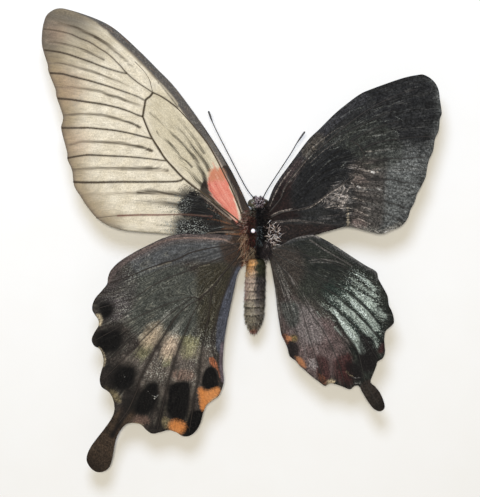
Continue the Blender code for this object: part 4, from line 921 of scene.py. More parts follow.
# green black with pale blue-green rays, dark red and orange at the inner corner, a short tail
wings.append({
    "name": "hindwingRight", "node": "hindwing_right", "slot": "green_black_scales", "hind": True,
    "root": (262, 246),
    "outline": (
        5.6,1, 10.6,0.9, 12.7,2, 14.8,2.9, 17,3.4, 19.3,3.6, 21.7,2.7, 24.9,0.9, 29.2,-1.9, 33.1,-4.4, 36,-6.1,
        36.6,-8, 37.8,-10.2, 39,-12.5, 39.4,-15, 40,-16.2, 40.6,-17.9, 40.7,-19.7, 39.6,-20.9, 38.5,-22,
        38.2,-24.4, 38.4,-27.4, 37.8,-29.1, 36.5,-29.9, 36,-31.4, 35.2,-33.5, 34.6,-35.4, 36,-36.8, 37.2,-38.4,
        38.2,-40.8, 38.3,-42.4, 37.1,-43.2, 35.5,-42.5, 34.1,-40.8, 32.5,-38.2, 31.6,-36.5, 30.4,-36.4,
        29.1,-37.3, 27,-36.5, 24.1,-35.7, 22.6,-36.4, 21.2,-35.5, 19.3,-34.1, 17.4,-32.4, 15.8,-31, 14.8,-29.8,
        13.2,-28.5, 12.6,-26.4, 11.8,-24.5, 11,-22.9, 10.6,-20.8, 9.9,-16.3, 9.4,-11.5, 8.6,-6.8, 8,-3.8,
        7.2,-1.6, 5.4,-0.6),
    "flowEdges": ((0, 1, 10), (11, 46, 55)),
    "flow": ((1.5, 0), (3, 1), (4, 2), (5, 3), (6, 4), (7, 5), (8, 6), (9, 8),
             (7, 266,250, 280,266, 292,284, 303,301), (10, 267,256, 275,285, 281,305, 287,330, 294,358)),
    "tubes": (
        (0.1,0.2, 376,283, 345,268, 330,262, 311,257, 290,250, 275,247, 264,245),
        (0.11,0.18, 389,324, 375,318, 367,309, 360,302, 352,295, 345,290, 315,275, 290,262, 268,250),
        (0.11,0.13, 383,342, 365,322, 360,317, 353,310, 345,303, 338,296, 320,286),
        (0.11,0.13, 379,361, 364,338, 358,330, 351,322, 344,316, 336,308, 328,303, 314,292),
        (0.14,0.15, 379,405, 372,394, 365,380, 362,368, 358,352, 352,344, 346,335, 340,327, 335,318, 322,308,
         308,296),
        (0.11,0.14, 345,386, 340,368, 334,352, 324,332, 314,318, 303,301),
        (0.11,0.14, 324,383, 318,365, 312,345, 306,325, 300,303),
        (0.12,0.21, 320,286, 314,292, 308,296, 303,301, 292,284, 280,266, 267,250),
        (0.1,0.16, 305,369, 300,345, 293,320, 288,300, 280,280, 268,253)),
    "veinTones": ("171614", "33302A"),
    "marks": {
        "brownBase": (
            ("area", 5, (262,248, 285,246, 302,256, 302,285, 292,312, 284,336, 276,330, 268,290, 264,262)),),
        "purpleMid": (
            ("area", 6, (282,308, 296,298, 322,306, 336,326, 346,350, 336,374, 310,378, 296,360, 286,338)),),
        "oliveMid": (("area", 5, (300,282, 322,288, 334,308, 324,318, 300,308)),),
        "streakPale": (
            ("line", 0.12, 0.7, (0.1,0.9, 268,256, 276,268, 283,282, 289,298),
             (0.6,0.2, 286,305, 288,322, 291,334)),
            ("line", 0.1, 0.7, (0.8,0.4, 283,282, 291,302, 293,320)),
            ("line", 0.1, 0.6, (0.1,0.8, 267,260, 273,280, 276,300), (0.8,0.4, 276,300, 280,316, 284,332),
             (0.2,0.7, 272,258, 284,270, 294,284), (0.2,0.6, 270,258, 280,276, 286,296),
             (0.3,0.7, 278,262, 292,278, 304,296, 312,310), (0.6,0.3, 300,318, 308,336, 313,352)),
            ("line", 0.15, 0.8, (0.7,0.2, 316,318, 326,334, 334,350)),
            ("line", 0.05, 0.3, (0.4,0.9, 269,262, 273,280, 277,298), (0.9,0.3, 277,298, 280,314, 283,328),
             (0.4,0.9, 270,258, 278,276, 284,294), (0.9,0.4, 284,294, 288,308, 292,320),
             (0.3,0.8, 276,262, 284,278, 290,292), (0.8,0.4, 294,308, 298,322, 304,336),
             (0.8,0.3, 304,309, 306,318, 309,328), (0.7,0.3, 281,302, 285,318, 287,330))),
        "greenGlow": (
            ("area", 3.5, (322,288, 340,282, 362,292, 376,312, 380,340, 364,345, 344,325, 330,306)),
            ("area", 3, (280,305, 296,302, 300,320, 290,328))),
        "wineRed": (
            ("area", 2.6, (336,358, 350,354, 352,366, 344,374, 336,370),
             (317,356, 328,360, 330,378, 320,380, 316,368)),
            ("area", 2.2, (382,342, 386,342, 384,352, 378,352)),
            ("area", 4, (334,360, 352,372, 350,386, 336,378))),
        "ray": (
            ("line", 0.9, 0.8, (0.5,1, 355,272, 361,276, 368,282, 374,289)),
            ("line", 0.8, 0.7, (0.5,0.9, 352,279, 358,284, 366,290, 375,296)),
            ("line", 1.3, 0.9, (0.5,0.9, 351,289, 357,294, 364,299), (0.4,1, 343,293.5, 349,298, 356,304),
             (0.8,1, 332.5,309, 337,315, 342,321)),
            ("line", 2, 1, (0.8,0.6, 364,299, 371,304, 378,311, 383,317)),
            ("line", 1.9, 0.9, (1,0.8, 354,303, 363,311, 370,319, 376,327)),
            ("line", 1, 0.9, (0.4,0.9, 331,297, 338,301, 345,307)),
            ("line", 1.7, 0.9, (0.9,0.8, 344,307, 352,314, 361,324, 369,333)),
            ("line", 1.9, 1, (1,0.8, 341,320, 348,329, 355,338, 362,351)),
            ("line", 0.9, 1.2, (0.5,0.6, 371,331, 375,338, 377,346)),
            ("line", 0.7, 0.9, (0.7,0.5, 336,327, 338,331, 340,335)),
            ("line", 0.3, 0.8, (0.7,0.5, 317,312, 320,317)),
            ("line", 0.5, 1, (0.6,0.6, 322,303, 325,307, 327,310))),
        "rayCore": (
            ("line", 0.8, 0.9, (0.9,0.7, 352,302, 359,309, 367,317),
             (0.9,0.8, 335,311, 341,320, 348,330, 354,338)),
            ("line", 0.5, 0.7, (0.6,0.6, 356,291, 362,295, 366,299)),
            ("line", 0.3, 0.6, (0.7,0.7, 356,274, 362,279, 368,285))),
        "veinDark": (
            ("line", 0.5, 0.7, (0.9,0.5, 381,325, 367,309, 352,295, 340,287)),
            ("vein", 0.5, 0.7, (0.9, 0.5, 2), (0.9, 0.6, 3)),
            ("line", 0.5, 0.8, (0.9,0.7, 360,360, 352,344, 340,327, 335,318, 326,310)),
            ("vein", 0.3, 0.7, (0.7, 0.4, 5), (0.7, 0.4, 6)),
            ("line", 0.3, 0.6, (0.7,0.6, 318,244, 332,254, 346,262, 362,270)),
            ("line", 0.3, 0.5, (0.7,0.7, 340,272, 320,266, 300,254))),
        "spots": (
            ("area", 2.6, (362,346, 376,350, 376,366, 366,372, 358,364)),
            ("area", 2.2, (346,362, 360,366, 362,380, 350,378)),
            ("area", 1.2, (287,342, 296,342, 299,350, 297,357, 290,357)),
            ("area", 2.4, (360,335, 372,338, 372,350, 360,350))),
        "tail": (("area", 1.2, (366,380, 376,384, 388,402, 386,412, 374,412, 366,400, 360,388)),),
        "tornus": (
            ("area", 0.9, (285.5,336.5, 289,336, 292,337.5, 291.5,340.5, 288,341)),
            ("area", 1.4, (295.5,356.5, 300,357, 304.5,362, 306,368, 300,365))),
        "tornusRed": (
            ("area", 1.2, (281,335, 288,334, 290,342, 284,344)),
            ("area", 1.6, (318,374, 325,377, 327,385, 320,381))),
        "creamNotch": (
            ("area", 0.9, (326.5,383.5, 328,380, 332,379, 335,381.5, 333,384, 328,385.5)),
            ("line", 0.12, 0.5, (0.5,0.6, 346,371, 349,374, 353,376.5))),
        "palePatch": (("area", 3, (310,360, 314,359, 317,366, 314,370, 310,366)),),
        "frontLine": (
            ("line", 0.14, 0.3, (0.9,0.4, 272,249, 280,246, 288,241.5, 296,237.5)),
            ("line", 0.25, 0.4, (0.7,1, 296,238, 304,236.6, 313,235.5, 319,238)),
            ("line", 0.12, 0.28, (0.9,0.5, 310,240, 320,247, 330,253, 340,259, 352,266),
             (0.5,0.9, 309,260.5, 318,259.5, 326,259.8), (0.9,0.4, 326,259.8, 337,261.5, 346,265.5)),
            ("line", 0.1, 0.25, (0.5,0.5, 310,262.5, 322,262, 332,263))),
        "slateEdge": (("edge", 0.9, 1.6, (2, 10)),),
        "marginDark": (("edge", 0.2, 1.8, (9, 27)), ("edge", 0.1, 0.7, (34, 46))),
        "paleLow": (
            ("area", 4.5, (288,310, 304,306, 318,318, 322,340, 308,344, 296,332)),
            ("line", 0.6, 1.6, (0.8,0.6, 296,326, 302,342, 306,356), (0.8,0.6, 306,322, 312,338, 318,352),
             (0.8,0.4, 318,320, 327,336, 334,352)),
            ("line", 0.5, 1.4, (0.7,0.4, 284,314, 290,328, 293,336))),
        "rayDust": (
            ("area", 3, (350,272, 358,270, 376,286, 384,318, 378,346, 362,352, 342,332, 328,312, 336,296)),
            ("area", 3.5, (322,298, 336,296, 338,312, 326,316)),
            ("line", 0.8, 2.2, (0.4,0.4, 278,270, 288,290, 296,312))),
        "tornusOlive": (("area", 1.4, (291,335, 297,336, 297,341, 292,341)),),
        "tailLines": (
            ("line", 0.08, 0.4, (0.6,0.6, 352,377, 356,378, 360,377.5),
             (0.6,0.6, 354,383, 357,383.5, 360,383)),),
        "frontRim": (("edge", 0.5, 1.6, (7, 11)),),
    },
    "look": {
        "base": "1A1C19", "baseOther": "252722", "fibre": 0.55, "grain": 0.6, "blotch": 0.4, "blotchSize": 0.5,
        "calm": "tornus",
        "paint": (
            ("brownBase", "332C27", 0.85, 0.3), ("purpleMid", "5C4D4A", 0.85, -0.3),
            ("oliveMid", "2D2F28", 0.7, 0.4), ("paleLow", "716A67", 0.65, 0.4),
            ("greenGlow", "202B26", 0.75, 0.3), ("hair", "77756D", 0.26, 0),
            ("streakPale", "85807A", 0.75, -0.4), ("slateEdge", "3A3A3A", 0.6, 0.4),
            ("frontRim", "5E5D59", 0.7, 0.5), ("wineRed", "341A19", 0.8, 0.4), ("ray", "8A9288", 0.86, -0.6),
            ("rayCore", "B6BEB6", 0.6, 0.75), ("rayDust", "AEB6AA", 0.5, 1), ("veinDark", "0C0E0D", 0.9, 0.4),
            ("spots", "100B0C", 0.85, 0.4), ("palePatch", "88807C", 0.7, 0.6), ("tail", "29221D", 0.85, 0.3),
            ("marginDark", "181413", 0.7, 0.3), ("tornusRed", "5A3828", 0.7, 0.5),
            ("tornusOlive", "6B5A30", 0.7, 0.4), ("tornus", "A26C46", 0.8, 0.4),
            ("creamNotch", "A8977A", 0.85, 0.3), ("tailLines", "8A8680", 0.7, 0.3),
            ("frontLine", "8D857E", 0.55, 0.2)),
    },
})

for wing in wings:
    makeWing(wing)


def foamSkin():
    # closed cell polyethylene foam: matt, white, with fine cells that only just show
    return cloudedSkin("polyethyleneFoam", {"roughness": 0.85, "ior": 1.5, "tones": ("F0EEEA", "EDEAE4"),
                                            "cloud": 14,
                                            "detail": 2.0, "cell": 0.45, "bump": 0.12, "relief": 0.05})


def spinForm(profile, steps):
    # a closed form of revolution that runs back along -Y from (distance back, radius) pairs
    bm = bmesh.new()
    row = [bm.verts.new((radius, -back, 0)) for back, radius in profile]
    line = [bm.edges.new(pair) for pair in zip(row, row[1:])]
    bmesh.ops.spin(bm, geom=row + line, cent=(0, 0, 0), axis=(0, 1, 0), angle=2 * math.pi, steps=steps,
                   use_merge=True)
    bmesh.ops.remove_doubles(bm, verts=bm.verts, dist=0.0005)
    bmesh.ops.recalc_face_normals(bm, faces=bm.faces)
    return bm


def meshOf(name, bm):
    # a form in millimetres as a mesh in metres
    bmesh.ops.scale(bm, vec=(mm, mm, mm), verts=bm.verts)
    mesh = bpy.data.meshes.new(name)
    bm.to_mesh(mesh)
    bm.free()
    mesh.shade_smooth()
    return mesh


def setTones(mesh, tones):
    # a colour for each point, which the skin reads
    mesh.attributes.new("tone", "FLOAT_COLOR", "POINT").data.foreach_set("color", np.asarray(tones).ravel())


def tonedSkin(name, roughness, grain, relief):
    # the piece's own tones, varied by a fine grain that also roughens the surface; sizes in millimetres
    made, tree, shader = startMaterial(name, roughness, 1.55, **{"Specular IOR Level": 0.15})
    place = addNode(tree, "TexCoord").outputs["Object"]
    tone = addNode(tree, "Attribute", attribute_name="tone").outputs["Color"]
    speck = addNode(tree, "TexNoise",
                    {"Vector": place, "Scale": 1 / (grain * mm), "Detail": 3.0}).outputs["Fac"]
    mixed = addNode(tree, "Mix", {0: 0.7, 6: tone, 7: speck}, data_type="RGBA", blend_type="OVERLAY").outputs[2]
    tree.links.new(mixed, shader.inputs["Base Color"])
    bump = addNode(tree, "Bump", {"Height": speck, "Strength": 0.6, "Distance": relief * mm})
    tree.links.new(bump.outputs["Normal"], shader.inputs["Normal"])
    return made


def seamAt(y):
    # x of the line between the pale and the black half of the body
    return np.interp(y, (-22.7, -2.65, 12.0), (3.75, 4.1, 4.2))


def rampTones(share, stops):
    # colours along a row of (place, hex) stops
    places = [place for place, _ in stops]
    tones = np.array([colour(hexText) for _, hexText in stops])
    return np.column_stack([np.interp(share, places, tones[:, i]) for i in range(4)])


thoraxForm = {
    # under: skin as a share of the furry form
    "middle": (4.4, 22.3), "front": 10.4, "tall": 1.22, "under": 0.9,
    "profile": ((0, 0), (0.1, 1.1), (0.6, 1.9), (1.4, 2.4), (2.3, 2.7), (3.4, 3.15), (5.0, 3.5), (7.2, 3.5),
                (9.2, 3.15), (11.0, 2.5), (12.0, 1.8), (12.6, 1.0), (12.7, 0)),
    "step": 0.25, "around": 64, "left": "3A2A20", "right": "0F0F11", "blend": 0.5,
}


def makeThorax():
    form = thoraxForm
    profile = smoothPath(form["profile"], form["step"])
    profile[:, 1] = np.maximum(profile[:, 1], 0) * form["under"]
    bm = spinForm(profile, form["around"])
    bmesh.ops.scale(bm, vec=(1, 1, form["tall"]), verts=bm.verts)
    bmesh.ops.translate(bm, vec=(form["middle"][0], form["front"], form["middle"][1]), verts=bm.verts)
    mesh = meshOf("thorax", bm)
    x, y, _ = pointsOf(mesh).T
    share = np.clip((x - seamAt(y)) / form["blend"] + 0.5, 0, 1)
    setTones(mesh, rampTones(share, ((0, form["left"]), (1, form["right"]))))
    addPiece("thorax", mesh, tonedSkin("thoraxSkin", roughness=0.6, grain=0.5, relief=0.08),
             ("thorax",))
    return mesh


abdomenForm = {
    "front": (4.3, -2.65, 22.1), "tip": (3.6, -22.3, 20.9), "radius": 2.55, "tall": 0.98, "rings": 9,
    # share of the length, share of the radius
    "swell": ((0, 0.55), (0.02, 0.84), (0.1, 0.93), (0.3, 1.0), (0.6, 1.02), (0.78, 0.97), (0.86, 0.84),
              (0.92, 0.62), (0.96, 0.4), (0.985, 0.25), (1, 0.08)),
    "step": ((0, 0.05), (0.3, 0.07), (0.55, 0.15), (0.85, 0.17), (0.95, 0.03)),    # how far a ring stands proud
    "wave": 0.035, "ripple": 0.02,      # how far a ring's edge wanders, as a share of its length
    "lapStart": 0.75, "lapEnd": 0.9,    # the overlap, as shares of a ring's length
    "cuts": 240, "around": 72,
    "left": ((0, "A07850"), (0.08, "C8965E"), (0.12, "BE8E5C"), (0.2, "B29A80"), (0.3, "B09A8A"),
             (0.5, "988A7A"), (0.62, "867C6C"), (0.85, "6E6656"), (0.95, "6A5848"), (1, "7A4E3E")),
    "right": ((0, "2A2B1C"), (0.15, "2C2E1D"), (0.3, "2A2625"), (0.45, "3A3332"), (0.6, "544D47"),
              (0.75, "6A635A"), (0.88, "605A50"), (1, "664A3E")),
    "blend": 1.1, "ringEdgeAndShade": 0.65,     # width of the seam, and how much paler a ring's rear edge is and how much darker the painted shade in the step under it
}


def makeAbdomen():
    form = abdomenForm
    front, tip = Vector(form["front"]), Vector(form["tip"])
    length, rings, cuts, lapEnd = front.y - tip.y, form["rings"], form["cuts"], form["lapEnd"]
    profile = [(0, 0)] + [(back / cuts * length, 1.0) for back in range(1, cuts)] + [(length, 0)]
    bm = spinForm(profile, form["around"])
    for vert in bm.verts:       # the middle line runs a little left and down to the tip
        t = -vert.co.y / length
        angle = math.atan2(vert.co.z, vert.co.x)
        # each ring widens to its wavy rear edge, which overlaps the next one's front
        wave = form["wave"] * math.sin(2 * angle + 0.6)
        wave += form["ripple"] * math.sin(7 * angle + 2.4 * round(t * rings))
        phase = (t * rings + wave) % 1
        step = np.interp(t, *zip(*form["step"]))
        lap = step * (1 - min(1, phase / form["lapStart"]) ** 0.8 if phase < lapEnd else (phase - lapEnd) / 0.1)
        radius = max(0.03, form["radius"] * np.interp(t, *zip(*form["swell"])) - lap)
        middle = front.lerp(tip, t)
        vert.co = Vector((middle.x + vert.co.x * radius, middle.y,
                          middle.z + vert.co.z * radius * form["tall"]))
    bmesh.ops.smooth_vert(bm, verts=bm.verts, factor=0.4, use_axis_x=True, use_axis_y=False, use_axis_z=True)
    mesh = meshOf("abdomen", bm)
    x, y, z = pointsOf(mesh).T
    t = (front.y - y) / length
    beyond = x - seamAt(y) + 0.3 * np.sin(y * 2.1) + 0.15 * np.sin(y * 5.3)     # past the ragged seam
    side = np.clip(beyond / form["blend"] + 0.5, 0, 1)[:, None]
    tones = rampTones(t, form["left"]) * (1 - side) + rampTones(t, form["right"]) * side
    angle = np.arctan2(z - 21.5, x - 4.0)
    phase = (t * rings + form["wave"] * np.sin(2 * angle + 0.6)) % 1
    lower = np.interp(t, (0, 0.4, 0.6, 1), (0.4, 0.6, 1.2, 1.0))        # the bands show more towards the tip
    # a ring is paler towards its rear edge; the step down under that edge and the next ring's front are
    # darkened as painted shade
    pale = np.clip((phase - 0.5) / 0.3, 0, 1) * (phase < lapEnd)
    edge = (pale - 1.3 * (phase > lapEnd) - 0.9 * (phase < 0.12)) * lower
    setTones(mesh, np.clip(tones * (1 + form["ringEdgeAndShade"] * edge[:, None]), 0, 1))
    skin = tonedSkin("abdomenSkin", roughness=0.6, grain=0.35, relief=0.08)
    addPiece("abdomen", mesh, skin, ("abdomen",))
    return mesh


headForm = {
    "middle": (4.9, 12.05, 22.2), "radii": (1.75, 1.32, 1.75), "under": 0.92, "blend": 0.6,
    "left": "4A4234", "right": "161516", "eyeOut": 1.65, "eyeRadii": (1.2, 1.15, 1.3),
    "eyes": ((-1, "eyeLeft", "eye_left", ("5B5646", "2C281F")),
             (1, "eyeRight", "eye_right", ("33291F", "120F0D"))),
    "palp": ((0.55, 0.7, -1.0), (0.75, 1.15, -0.5), (0.7, 1.35, 0.1)),      # from the middle of the head
    "palpRadii": ((0, 0.5, 0.85, 1), (0.34, 0.36, 0.26, 0.1)), "palpTone": "2A241E",
}


def ball(middle, radii, segments=40):
    # a closed rounded form
    bm = bmesh.new()
    bmesh.ops.create_uvsphere(bm, u_segments=segments, v_segments=segments // 2, radius=1.0)
    bmesh.ops.scale(bm, vec=radii, verts=bm.verts)
    bmesh.ops.translate(bm, vec=middle, verts=bm.verts)
    return bm


def makeHead():
    form = headForm
    middle = Vector(form["middle"])
    mesh = meshOf("head", ball(middle, [r * form["under"] for r in form["radii"]]))
    x, y, _ = pointsOf(mesh).T
    share = np.clip((x - bodyMiddle) / form["blend"] + 0.5, 0, 1)
    setTones(mesh, rampTones(share, ((0, form["left"]), (1, form["right"]))))
    addPiece("head", mesh, tonedSkin("headSkin", roughness=0.6, grain=0.4, relief=0.06), ("head",))
    for side, name, node, tones in form["eyes"]:
        # a dried compound eye: thousands of domed facets, glossy on each and dull as a whole
        # a facet is 0.03 mm across, drawn here at 0.09 mm so that it shows
        skin = cloudedSkin(name + "Facets", {"roughness": 0.28, "ior": 1.55, "tones": tones, "cloud": 0.5,
                                             "detail": 3.0, "cell": 0.09, "bump": 0.5, "relief": 0.02,
                                             "domed": True})
        eyeball = meshOf(name, ball(middle + Vector((side * form["eyeOut"], 0, 0)), form["eyeRadii"]))
        addPiece(name, eyeball, skin, (node,))
    palps = []
    for side in (-1, 1):
        path = smoothPath([middle + Vector((side * x, y, z)) for x, y, z in form["palp"]], 0.2)
        palps.append((path, np.interp(np.linspace(0, 1, len(path)), *form["palpRadii"])))
    palpMesh = tubes("palps", palps, sides=8)
    setTones(palpMesh, np.tile(colour(form["palpTone"]), (len(palpMesh.vertices), 1)))
    addPiece("palps", palpMesh, tonedSkin("palpSkin", roughness=0.6, grain=0.3, relief=0.05))
    return mesh, palpMesh


def chitin(name, tones, roughness=0.4):
    # black horn-like skin, satin, a little browner in patches
    return cloudedSkin(name, {"roughness": roughness, "ior": 1.56, "tones": tones, "cloud": 0.7, "detail": 3.0,
                              "bump": 0.3, "relief": 0.03})


def makeProboscis():
    # coiled under the head like a watch spring
    form = {"middle": (4.9, 12.0, 18.55), "radii": (0.45, 1.33), "turns": 2.25, "points": 110,
            "wire": (0.07, 0.13), "from": (4.9, 12.3, 20.9), "bow": 0.3, "tones": ("2A1D14", "120D0A")}
    x, y, z = form["middle"]
    turns = np.linspace(0, form["turns"], form["points"])
    radius = np.interp(turns, (0, form["turns"]), form["radii"])
    angle = 2 * np.pi * turns
    coil = np.column_stack((np.full(len(turns), x), y + radius * np.cos(angle), z + radius * np.sin(angle)))
    halfway = (coil[-1] + np.array(form["from"])) / 2 + (0, form["bow"], 0)
    path = np.vstack((coil[:-6], smoothPath([coil[-1], halfway, form["from"]], 0.15)))
    mesh = tubes("proboscis", [(path, np.linspace(*form["wire"], len(path)))], sides=8)
    addPiece("proboscis", mesh, chitin("tongueChitin", form["tones"]), ("proboscis",))


def makeAntennae():
    # rings 0.25 mm long that swell and narrow, and a club at the end
    form = {
        "shaft": 0.13, "club": 0.25, "clubLength": 3.4, "ring": 0.125, "swell": 0.10,
        "tones": ("1D1917", "0D0C0C"),
        "antennaLeft": ("antenna_left", ((4.1, 12.6, 23.0), (3.5, 13.6, 23.7), (1.3, 16.6, 24.9),
                                         (-3.7, 26.1, 26.6), (-6.9, 32.5, 27.0), (-8.3, 36.2, 27.0))),
        "antennaRight": ("antenna_right", ((5.6, 12.6, 23.0), (6.1, 13.5, 23.7), (8.0, 16.8, 25.0),
                                           (13.3, 24.9, 26.8), (15.0, 27.8, 27.1), (17.1, 30.8, 27.2))),
    }
    skin = chitin("antennaChitin", form["tones"])
    for name in ("antennaLeft", "antennaRight"):
        node, points = form[name]
        path = smoothPath(points, form["ring"])
        left = np.arange(len(path))[::-1] * form["ring"]        # how much of the antenna is left to its end
        club = np.clip(1 - left / form["clubLength"], 0, 1)
        radius = form["shaft"] + (form["club"] - form["shaft"]) * np.sin(np.pi * club ** 0.8 * 0.62)
        radius = np.minimum(radius, 0.06 + np.sqrt(left + 0.001) * 0.42)        # the rounded end
        radius *= 1 + form["swell"] * (np.arange(len(path)) % 2 * 2 - 1)
        addPiece(name, tubes(name, [(path, radius)], sides=6), skin, (node,))


def makeLegs():
    # femur, tibia with spurs and a five jointed tarsus with two claws
    form = {
        # hip, knee, ankle, toe
        "fore": ((1.2, 7.4, 19.4), (5.2, 9.6, 20.4), (7.2, 11.6, 16.8), (9.8, 13.6, 15.5)),
        "mid": ((1.4, 4.6, 19.0), (5.6, 5.4, 20.4), (8.6, 4.6, 16.7), (12.0, 4.2, 15.5)),
        "hind": ((1.2, 2.0, 19.4), (5.2, 0.6, 20.2), (7.6, -2.6, 16.7), (9.6, -6.0, 15.5)),
        "femur": (0.30, 0.40, 0.36, 0.24), "tibia": (0.20, 0.24, 0.22, 0.26), "tarsus": (0.13, 0.19),
        "claw": (0.08, 0.02), "spur": (0.07, 0.05, 0.015), "spine": (0.04, 0.03, 0.01),     # radii, root to tip
        "spurLength": 0.7, "spineLength": 0.32, "joints": 5, "spines": 9, "cuts": 13,
        "tones": ("231D1A", "0E0C0B"),
    }
    skin = chitin("legChitin", form["tones"], roughness=0.38)
    rng = np.random.default_rng(31)
    for name in ("fore", "mid", "hind"):
        for side, word in ((-1, "left"), (1, "right")):
            hip, knee, ankle, toe = [np.array((bodyMiddle + side * x, y, z)) for x, y, z in form[name]]
            strands = []
            for start, end, radii in ((hip, knee, form["femur"]), (knee, ankle, form["tibia"])):
                share = np.linspace(0, 1, form["cuts"])
                radius = np.interp(share, np.linspace(0, 1, len(radii)), radii)
                strands.append((start + (end - start) * share[:, None], radius))
            share = np.linspace(0, 1, form["joints"] * 4 + 1)
            low, high = form["tarsus"]
            knots = np.abs(np.sin(np.pi * share * form["joints"] / 2 + 0.3))
            strands.append((ankle + (toe - ankle) * share[:, None],
                            low + (high - low) * knots * (1 - 0.3 * share)))
            along = (toe - ankle) / np.linalg.norm(toe - ankle)
            aside = np.cross(along, (0, 0, 1))
            for way in (-1, 1):
                bow = toe + along * 0.25 + aside * way * 0.2
                claw = smoothPath([toe, bow, toe + along * 0.42 + aside * way * 0.22 - (0, 0, 0.12)], 0.1)
                strands.append((claw, np.linspace(*form["claw"], len(claw))))
                spur = (ankle - knee) / np.linalg.norm(ankle - knee) + aside * way * 0.6
                spur = [ankle + spur * form["spurLength"] * t for t in (0, 0.5, 1)]
                strands.append((np.array(spur), np.array(form["spur"])))
            for k in range(form["spines"]):
                root = ankle + (toe - ankle) * (k + 0.5) / form["spines"]
                way = along * 0.5 + rng.normal(0, 0.6, 3) * (1, 1, 0.4)
                spine = [root + way * form["spineLength"] * t for t in (0, 0.5, 1)]
                strands.append((np.array(spine), np.array(form["spine"])))
            title = name + "Leg" + word.capitalize()
            mesh = tubes(title, strands, sides=8)
            addPiece(title, mesh, skin, ("leg_" + name + "_" + word,))


def pinPart(name, profile, middle):
    # a form of revolution that stands on its lower end, from (height, radius) pairs
    bm = spinForm([(-height, radius) for height, radius in reversed(profile)], 32)
    bmesh.ops.rotate(bm, cent=(0, 0, 0), matrix=Matrix.Rotation(math.pi / 2, 3, "X"), verts=bm.verts)
    bmesh.ops.translate(bm, vec=middle, verts=bm.verts)
    return meshOf(name, bm)


def makePin():
    form = {
        "middle": (3.35, 4.5, 0), "wire": 0.22, "tip": 1.0, "point": 1.8, "ball": 0.56, "ballZ": 39.05,
        "steel": ("C9CACC", "A9ABAE"), "dieMark": (0.1, 0.1, 3.0), "boardTop": 15.0,
        "nylon": {"roughness": 0.22, "ior": 1.53, "tones": ("F2EFF4", "E9E4EA"), "cloud": 0.6, "detail": 2.0},
    }
    wire, tip, shoulder = form["wire"], form["tip"], form["tip"] + form["point"]
    ballZ, size, top = form["ballZ"], form["ball"], form["boardTop"]
    shaft = [(tip, 0), (tip + 0.15, 0.03), (shoulder, wire), (shoulder + 0.6, wire), (ballZ - 0.1, wire),
             (ballZ - 0.1, 0)]
    # bright drawn steel, with fine marks of the die along the wire
    made, tree, shader = startMaterial("drawnSteel", 0.3, metallic=1.0)
    place = addNode(tree, "TexCoord").outputs["Object"]
    scale = [1 / (mark * mm) for mark in form["dieMark"]]
    stretched = addNode(tree, "Mapping", {"Vector": place, "Scale": scale}).outputs["Vector"]
    marks = addNode(tree, "TexNoise", {"Vector": stretched, "Scale": 1.0, "Detail": 2.0}).outputs["Fac"]
    pale, dark = [colour(hexText) for hexText in form["steel"]]
    tone = addNode(tree, "Mix", {0: marks, 6: pale, 7: dark}, data_type="RGBA").outputs[2]
    tree.links.new(tone, shader.inputs["Base Color"])
    addPiece("pinShaft", pinPart("pinShaft", shaft, form["middle"]), made, ("pin_shaft",))
    turn = [(math.pi * k / 24 - math.pi / 2) for k in range(25)]
    knob = [(ballZ + size * math.sin(a), size * math.cos(a)) for a in turn if math.sin(a) > -0.85]
    knob = [(ballZ - size - 0.18, 0), (ballZ - size - 0.18, wire + 0.06),
            (ballZ - size - 0.02, wire + 0.09)] + knob
    knob[-1] = (ballZ + size, 0)
    # moulded nylon: white and glossy, and a little light goes into it
    nylon = cloudedSkin("whiteNylon", form["nylon"],
                        **{"Subsurface Weight": 0.15, "Subsurface Scale": 0.3 * mm})
    addPiece("pinKnob", pinPart("pinKnob", knob, form["middle"]), nylon, ("pin_head",))
    # the foam that the pin pushed up round itself
    lip = [(top - 0.25, wire + 0.02), (top + 0.05, wire + 0.02), (top + 0.12, wire + 0.18),
           (top + 0.04, wire + 0.5), (top - 0.25, wire + 0.52)]
    bm = bmesh.new()
    row = [bm.verts.new((radius, 0, height)) for height, radius in lip]
    line = [bm.edges.new((row[k], row[(k + 1) % len(row)])) for k in range(len(row))]
    bmesh.ops.spin(bm, geom=row + line, cent=(0, 0, 0), axis=(0, 0, 1), angle=2 * math.pi, steps=32,
                   use_merge=True)
    bmesh.ops.remove_doubles(bm, verts=bm.verts, dist=0.0005)
    bmesh.ops.recalc_face_normals(bm, faces=bm.faces)
    bmesh.ops.translate(bm, vec=form["middle"], verts=bm.verts)
    addPiece("foamLip", meshOf("foamLip", bm), foamSkin())


hairForm = {
    "lengths": (0.65, 1.3), "widths": (0.8, 1.25),      # how much single hairs differ
    "taper": (1.0, 0.8, 0.25), "shade": (0.55, 0.95, 1.2),      # width and brightness at root, middle and tip
    "depth": 0.05, "bow": 0.05, "droop": 0.1,       # start under the skin, and bends as shares of the length
    "jitter": 0.8,      # about how far beside its root a hair's colour is looked up, in picture points
}


def hairs(roots, normals, rng, look):
    # tapered hairs of three points: combed one way, lifted off the skin, each a little different
    form, count = hairForm, len(roots)
    way = np.array(look["comb"]) + normals * look["lift"] + rng.normal(0, look["stray"], (count, 3))
    way /= np.linalg.norm(way, axis=1)[:, None]
    length = (look["length"] * rng.uniform(*form["lengths"], count))[:, None]
    middle = roots + way * length * 0.5 + normals * length * form["bow"]
    tip = roots + way * length - np.array((0, 0, 1)) * length * form["droop"]
    rows = np.stack((roots - normals * form["depth"], middle, tip), 1)
    thick = look["thick"] * rng.uniform(*form["widths"], count)
    return [(row, [t * share for share in form["taper"]]) for row, t in zip(rows, thick)]


